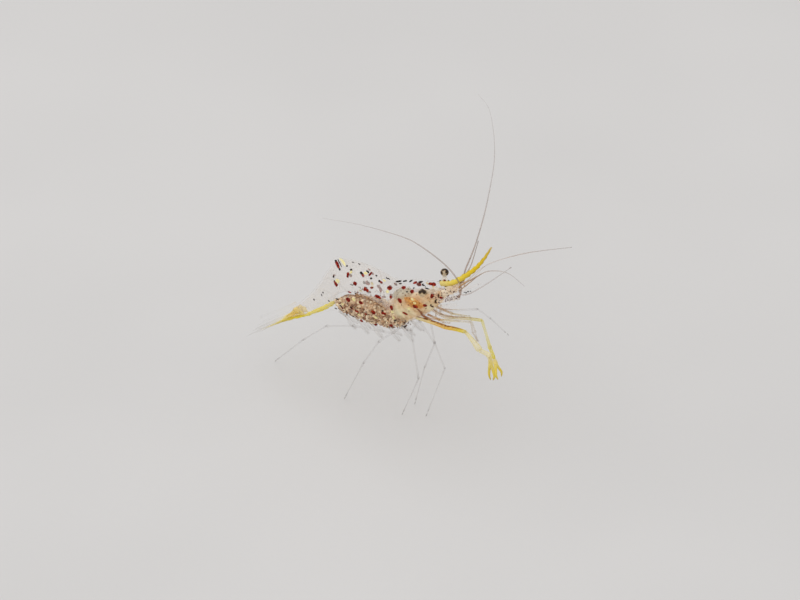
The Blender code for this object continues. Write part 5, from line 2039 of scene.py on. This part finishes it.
# %% Strewn specks
STEM_SPECKS, STEM_SIZES = 12, (0.04, 0.08)
STEM_SKIN = (0.56, 0.34)  # how far out they lie at a stem's base and at its end
HIP_SPECKS, HIP_SIZES = 90, (0.03, 0.09)
HIP_XS, HIP_YS, HIP_ZS = (0.9, 3.5), (0.9, 1.9), (14.2, 16.4)

# Brown specks on the stems of the short feelers.
chance = random.Random(37)
for side in SIDES:
    a, b = (Vector(end) for end in STEMS[side])
    lift = (b - a).normalized().cross(Vector((0, -1, 0)))
    for _ in range(STEM_SPECKS):
        t, angle = chance.random(), math.tau * chance.random()
        out = Vector((0, math.cos(angle), 0)) + lift * math.sin(angle)
        size = chance.uniform(*STEM_SIZES)
        spot = a.lerp(b, t) + out * mix(*STEM_SKIN, t)
        bead("brown", spot, (size, size, size * 1.8), random_turn(chance), 6, 8)

# Dark specks between the legs' hips, under the chest.
chance = random.Random(41)
for number in range(HIP_SPECKS):
    sign = -1 if number % 2 else 1
    spot = Vector((chance.uniform(*HIP_XS), sign * chance.uniform(*HIP_YS), 0))
    spot.z = mix(*HIP_ZS, chance.random() ** 0.7) + 0.25 * (spot.x - 1)
    size = chance.uniform(*HIP_SIZES)
    kind = chance.choice(("brown", "brown", "black"))
    bead(kind, spot, (size * 0.6, size, size * 2.2), random_turn(chance), 6, 8)
print("strewn specks:", 2 * STEM_SPECKS + HIP_SPECKS)

# %% Pigment in grains
CELL_SHELL = 0.015
# The colours of the grains, how solid a cell is in its middle, and how gently its rim fades.
CELL_LOOKS = {
    "red": (((0.07, 0.001, 0.0005), (0.2, 0.006, 0.002), (0.44, 0.045, 0.01)), 1.0, 0.2),
    "black": (((0.004, 0.002, 0.002), (0.02, 0.006, 0.004)), 1.0, 0.2),
    "yellow": (((0.9, 0.8, 0.34), (0.98, 0.92, 0.55)), 0.7, 0.8),
    "brown": (((0.05, 0.015, 0.008), (0.2, 0.08, 0.03)), 0.9, 0.3),
}
for kind, (colours, strength, soft) in CELL_LOOKS.items():
    finish, tree, shader = start_finish(f"{kind}_cells", 0.6, IOR=1.38)
    cloud = grain(tree, 0.22, 4.0)
    ragged = times(tree, painted(tree, "core"), ramp(tree, cloud, (0.25, 0.6), (0.55, 1.2)))
    seen = ramp(tree, ragged, (0.03, 0.0), (soft, strength))
    dress(shader, Base_Color=mottled(tree, cloud, colours, 0.35), Alpha=seen)
    bumps(tree, shader, cloud, 0.02)
    place_piece(f"{kind}_cells", cells[kind], finish, "shell_clear", shell=CELL_SHELL)
print("last cell's number:", next(seeds) - 1)
